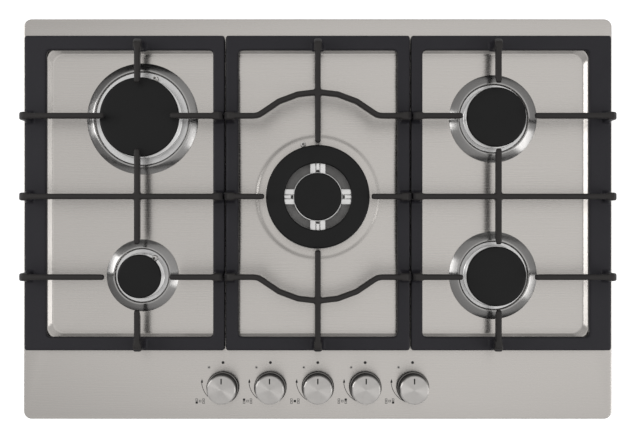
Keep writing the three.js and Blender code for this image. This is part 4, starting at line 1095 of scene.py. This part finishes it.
@dataclass
class ControlKnob:
    """A knob with a spun metal face, a bright chamfer, a dark skirt and a pointer groove."""

    name: str
    x: float
    low: float = 65.5
    face: float = 86.0
    skirt: float = 21.0
    groove_x: float = 0.8
    groove_from: float = 7.5
    groove_to: float = 14.5
    groove_depth: float = 0.6

    def build(self) -> None:
        """Builds and dresses the knob."""
        low, face, roof, x = self.low, self.face, self.face - 3, self.x
        profile = [(0, roof), (4.3, roof), (4.3, low + 1), (7.5, low + 1), (7.5, roof), (15.6, roof),
                   *off(0, low, (15.6, 0), (20.3, 0), (20.6, 0.3), (20.5, 0.8), (19.8, 1.3), (18.7, 1.5),
                        (18.3, 2.0), (18.2, 3.2)),
                   *off(0, face, (18.2, -1.3), (18.0, -1.0), (17.1, -0.12), (16.7, 0), (15.9, -0.06),
                        (10, -0.12), (4, -0.16), (0, -0.17))]
        knob = spun(f"turned_knob_{self.name}", profile, (x, KNOB_ROW), 128)
        groove_low = mm(x - self.groove_x, KNOB_ROW + self.groove_from, face - self.groove_depth)
        groove_high = mm(x + self.groove_x, KNOB_ROW + self.groove_to, face + 4)
        combine(knob, block("pointer_groove", groove_low, groove_high))
        smooth(knob)
        self.dress(knob)
        add(knob, None, f"knob_{self.name}", "knob_metal", f"knob_{self.name}")

    def dress(self, knob: Piece) -> None:
        """Metal above, dark plastic below and in the groove, and a painted highlight: a lighter metal band
        on the ledge.

        Args:
            knob: The knob.
        """
        low, face, centre = self.low, self.face, (self.x, KNOB_ROW)
        SpunMetal(f"knob_face_{self.name}", centre, grey(0.53, 0.035), 0.34, 0.92).dress(knob)
        plastic = made_material(Finish.PLASTIC)
        part_clothe(knob, plastic, centre, (0, self.skirt), (0, face - 1.9))
        # Painted highlight: the skirt's ledge gets a lighter metal band for the highlight line along its
        # edge.
        ledge = SpunMetal(f"knob_ledge_highlight_{self.name}", centre, grey(0.17, 0.05), 0.3, 0.5).material()
        part_clothe(knob, ledge, centre, (0, self.skirt), (low + 1.35, low + 1.6))
        groove = (self.x, KNOB_ROW + (self.groove_from + self.groove_to) / 2)
        reach = (0, (self.groove_to - self.groove_from) / 2 + 0.02)
        part_clothe(knob, plastic, groove, reach, (face - self.groove_depth - 0.1, face - 0.2))


# ---- Printed marks ----


@dataclass
class PanelMarks:
    """The printed marks round one knob: off dot, spark star, curved arrow and a small burner plan."""

    name: str
    x: float
    active: int
    low: float = RIM - 0.03
    high: float = RIM + 0.05
    plan: Point = (-29.2, -18.1)
    half: float = 1.45
    bar: float = 0.6
    arrow_head: tuple[Point, ...] = ((-26.8, 10.3), (-28.2, 6.3), (-28.1, 5.3), (-27.0, 4.7), (-25.9, 5.3),
                                     (-25.6, 6.3))

    def build(self) -> None:
        """Builds and dresses the marks."""
        head = self.flat("arrow_head", self.arrow_head)
        dark = [self.dot(), self.arc(), head, *self.square(self.active)]
        light = [self.star()]
        for other in range(5):
            if other != self.active:
                light += self.square(other)
        for tone, marks, finish in (("dark", dark, Finish.BLACK_INK), ("light", light, Finish.GREY_INK)):
            piece = joined(f"panel_marks_{tone}_{self.name}", marks)
            add(piece, finish, "cooktop", "plate_steel")

    def flat(self, name: str, outline: Sequence[Point]) -> Piece:
        """A thin print of an outline.

        Args:
            name: The mark's name.
            outline: Its points, in millimetres from the knob's axis.

        Returns:
            The mark.
        """
        with editing(drawn_chain([mm(self.x + a, KNOB_ROW + b, self.low) for a, b in outline])):
            bpy.ops.mesh.edge_face_add()
            rise = (0, 0, (self.high - self.low) * MM)
            bpy.ops.mesh.extrude_region_move(TRANSFORM_OT_translate={"value": rise})
        return tidy_faces(named(name))

    def dot(self) -> Piece:
        """The off mark, a round dot."""
        return self.flat("dot", [arm(1.85, 15 * i, (0, 31.0)) for i in range(24)])

    def star(self) -> Piece:
        """The spark mark, a star of eight rays."""
        return self.flat("star", [arm((2.5, 0.8)[i % 2], 22.5 * i, (-17.9, 24.9)) for i in range(16)])

    def arc(self) -> Piece:
        """The thin curved line that tells which way the knob turns up.

        Returns:
            The mark.
        """
        turns = [186 + 4.4 * i for i in range(17)]
        points = [(28.66, turn) for turn in turns] + [(27.94, turn) for turn in reversed(turns)]
        return self.flat("arc", [arm(radius, turn, (0.9, 7.6)) for radius, turn in points])

    def square(self, index: int) -> list[Piece]:
        """One burner in the small plan: full where the knob feeds it, else an outline of four bars.

        Args:
            index: Which burner, in the order of the taps.

        Returns:
            The square's marks.
        """
        a, b = [(-4.4, -1.8), (-4.4, 1.8), (0, 0), (4.4, 1.8), (4.4, -1.8)][index]
        a, b, half, bar = a + self.plan[0], b + self.plan[1], self.half, self.bar
        full, inner = (-half, half), (0.05 - half + bar, half - bar - 0.05)
        boxes = [(full, full)]
        if index != self.active:
            near, far = (-half, bar - half), (half - bar, half)
            boxes = [(full, near), (full, far), (near, inner), (far, inner)]
        marks = []
        for n, (u, v) in enumerate(boxes):
            corners = ((u[0], v[0]), (u[1], v[0]), (u[1], v[1]), (u[0], v[1]))
            marks.append(self.flat(f"square_{index}_{n}", [(a + c, b + d) for c, d in corners]))
        return marks


# ---- Tray and what is under the plate ----


@dataclass
class BottomTray:
    """The zinc-coated tray that closes the cooktop below."""

    x: float = 276.5
    y: float = 237.0
    corner: float = 14.0
    sheet: float = 1.2
    wall: float = 58.5
    notch: float = 53.5
    notch_front: float = -153.5
    notch_rear: float = 218.5
    vent_x: float = 168.0
    vent_y: float = 28.0
    vent_pitch: float = 14.0

    def build(self) -> None:
        """Builds and dresses the tray."""
        tray = slab("tray_sheet", mm(-self.x, -self.y, 0), mm(self.x, self.y, self.wall), self.corner * MM)
        press(tray, self.wall, 50, 2.2, self.sheet)
        for cutter in self.cutters():
            combine(tray, cutter)
        smooth(tidy_faces(tray), 28)
        add(tray, Finish.ZINC, "cooktop", "tray_steel", "bottom_tray")

    def cutters(self) -> list[Piece]:
        """What is cut out of the tray: room for the well, the vents and the holes in the rear wall.

        Returns:
            The cutters.
        """
        low = mm(-self.x - 9, self.notch_front, self.notch)
        cutters = [block("notch", low, mm(self.x + 9, self.notch_rear, self.wall + 9))]
        vents = []
        for side in (-1, 1):
            for i in range(4):
                x, y = side * self.vent_x, self.vent_y + (i - 1.5) * self.vent_pitch
                low, high = mm(x - 23, y, -4), mm(x + 23, y + 4, 4)
                vents.append(slab(f"vent_{side + 1}_{i}", low, high, 1.95 * MM, steps=4))
        cutters.append(joined("vents", vents))
        for name, place, radius in (("inlet_hole", GasInlet, 10.8), ("gland_hole", CableGland, 7.3)):
            peg = spun(name, [(0, -6), (radius, -6), (radius, 6), (0, 6)], steps=48)
            cutters.append(face_along_y(peg, mm(place.x, self.y, place.height)))
        return cutters


@dataclass
class GasInlet:
    """The brass inlet with its hexagon and its thread."""

    x: float = 256.0
    height: float = 15.5
    start: float = 199.0
    length: float = 52.0
    pitch: float = 1.35

    def build(self) -> None:
        """Builds and dresses the inlet."""
        tip, crest, root = self.length, 10.5, 9.9
        profile = [(7, 0), (crest, 0), (crest, 36), (root, 36.4), (root, 37.4), (crest, 37.8)]
        for i in range(9):
            start = 38.4 + i * self.pitch
            profile += [(crest, start), (root, start + self.pitch * 0.45)]
        profile += [(10.4, tip - 0.8), (9.6, tip), (7.6, tip), (7, tip - 0.6)]
        stub = spun("inlet_stub", profile, steps=64)
        nut = pegs("inlet_nut", [(0, 0, 13.5)], 0, 14, 6)
        modify(nut, "BEVEL", width=0.7 * MM, segments=2, limit_method="ANGLE")
        combine(nut, pegs("nut_bore", [(0, 0, 8.5)], -4, 20))
        combine(stub, nut, "UNION")
        face_along_y(stub, mm(self.x, self.start, self.height))
        smooth(stub)
        add(stub, Finish.BRASS, "cooktop", "inlet_brass", "gas_inlet_stub")


@dataclass
class CableGland:
    """The rubber gland in the tray's rear wall."""

    x: float = -190.0
    y: float = 236.4
    height: float = 30.0

    def build(self) -> None:
        """Builds and dresses the gland."""
        profile = [(3.5, -9), (8.6, -9), (9.2, -8.6), (9.6, -6), (10, -1.6), (9.6, -0.95), (7, -0.9),
                   (7, 0.9), (9.6, 0.95), (10, 1.5), (9.8, 2.4), (9.0, 4.2), (8.4, 4.5), (3.5, 4.5)]
        gland = face_along_y(spun("rubber_gland", profile, steps=48), mm(self.x, self.y, self.height))
        add(gland, Finish.RUBBER, "cooktop", "gland_rubber", "cable_gland")


INNER_FINISHES = {"rim_seal": Finish.FOAM, "tap_spindle": Finish.RAIL, "tap_plug": Finish.BRASS,
                  "tap_body": Finish.ALUMINIUM, "feed_pipe": Finish.TUBE, "gas_manifold_rail": Finish.RAIL,
                  "spark_generator": Finish.PLASTIC}


def dress_inner_works() -> None:
    """Gives the nodes between plate and tray, which keep their solids, their finish."""
    for node, piece in sorted(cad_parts.items()):
        for start, finish in INNER_FINISHES.items():
            if node.startswith(start):
                finish.dress(piece)
                LOG.info("%s dressed as %s", node, finish.name)


# ---- Studio ----


@dataclass
class Studio:
    """A pale floor, soft light all round, two soft lamps and the camera straight above."""

    camera: Place = (-0.0023, 0.0013, 1.310)
    lens: float = 55.85
    lean: float = 0.28
    glow: float = 0.6
    floor_size: float = 12.0
    floor_gap: float = 0.0004
    lamp_size: float = 0.8

    def build(self) -> None:
        """Builds the floor, the light and the camera."""
        self.floor()
        self.world()
        self.lamp("left_lamp", (-1.5, 0.25, 1.0), 8.0)
        self.lamp("right_lamp", (1.5, -0.45, 1.0), 5.0)
        camera = bpy.data.objects.new("camera", bpy.data.cameras.new("camera"))
        bpy.context.scene.collection.objects.link(camera)
        camera.location = self.camera
        camera.data.lens = self.lens
        camera.data.sensor_width = 36.0
        camera.data.clip_start = 0.01
        bpy.context.scene.camera = camera
        bpy.context.scene.view_settings.view_transform = "Standard"

    def floor(self) -> None:
        """A wide pale floor that keeps the shadow and looks white."""
        bpy.ops.mesh.primitive_plane_add(size=self.floor_size, location=(0, 0, -self.floor_gap))
        floor = named("studio_floor")
        recipe = Recipe("pale_floor")
        seen = recipe.add("LightPath", "Is Camera Ray", {})
        rays = seen.node.outputs
        for other in ("Is Glossy Ray", "Is Transmission Ray"):
            seen = recipe.apply("Math", "MAXIMUM", seen, rays[other])
        recipe.set(Base_Color=shade(grey(0.82)), Roughness=0.9, Specular_IOR_Level=0.1,
                   Emission_Color=shade(grey(1.0)),
                   Emission_Strength=recipe.apply("Math", "MULTIPLY", seen, self.glow))
        clothe(floor, recipe.material)

    def world(self) -> None:
        """Soft white light, weaker towards the horizon and a little stronger from the right."""
        world = bpy.data.worlds.new("soft_sky")
        bpy.context.scene.world = world
        world.use_nodes = True
        sky = Nodes(world.node_tree)
        height = sky.add("SeparateXYZ", "Z", {0: sky.add("TexCoord", "Generated", {})})
        fade = sky.add("ValToRGB", "Color", {"Fac": height})
        ramp = fade.node.color_ramp
        for place, level in ((0.5, 0.45), (0.8, 0.75)):
            ramp.elements.new(place).color = shade(grey(level))
        ramp.elements[0].color = shade(grey(0.22))
        strength = sky.spread(height.node.outputs["X"], -1.0, 1.0, 1 - self.lean, 1 + self.lean)
        background = sky.tree.nodes["Background"].inputs
        sky.feed(background["Color"], fade)
        sky.feed(background["Strength"], strength)

    def lamp(self, name: str, place: Place, power: float) -> None:
        """A square soft lamp that faces the cooktop.

        Args:
            name: The lamp's name.
            place: Where it hangs.
            power: Its power in watts.
        """
        data = bpy.data.lights.new(name, "AREA")
        data.size = self.lamp_size
        data.energy = power
        lamp = bpy.data.objects.new(name, data)
        lamp.location = place
        lamp.rotation_euler = Vector(place).to_track_quat("Z", "Y").to_euler()
        bpy.context.scene.collection.objects.link(lamp)


def main() -> None:
    """Builds the cooktop's pieces in order."""
    logging.basicConfig(level=logging.INFO, format="%(message)s")
    Studio().build()
    TopPlate().build()
    for side in ("left", "centre", "right"):
        PanSupport(side).build()
    for burner in Burners:
        PlainBurner(burner.value).build()
    TripleRingBurner().build()
    for i, (name, x) in enumerate(TAPS.items()):
        ControlKnob(name, x).build()
        PanelMarks(name, x, i).build()
    BottomTray().build()
    GasInlet().build()
    CableGland().build()
    dress_inner_works()


if __name__ == "__main__":
    main()
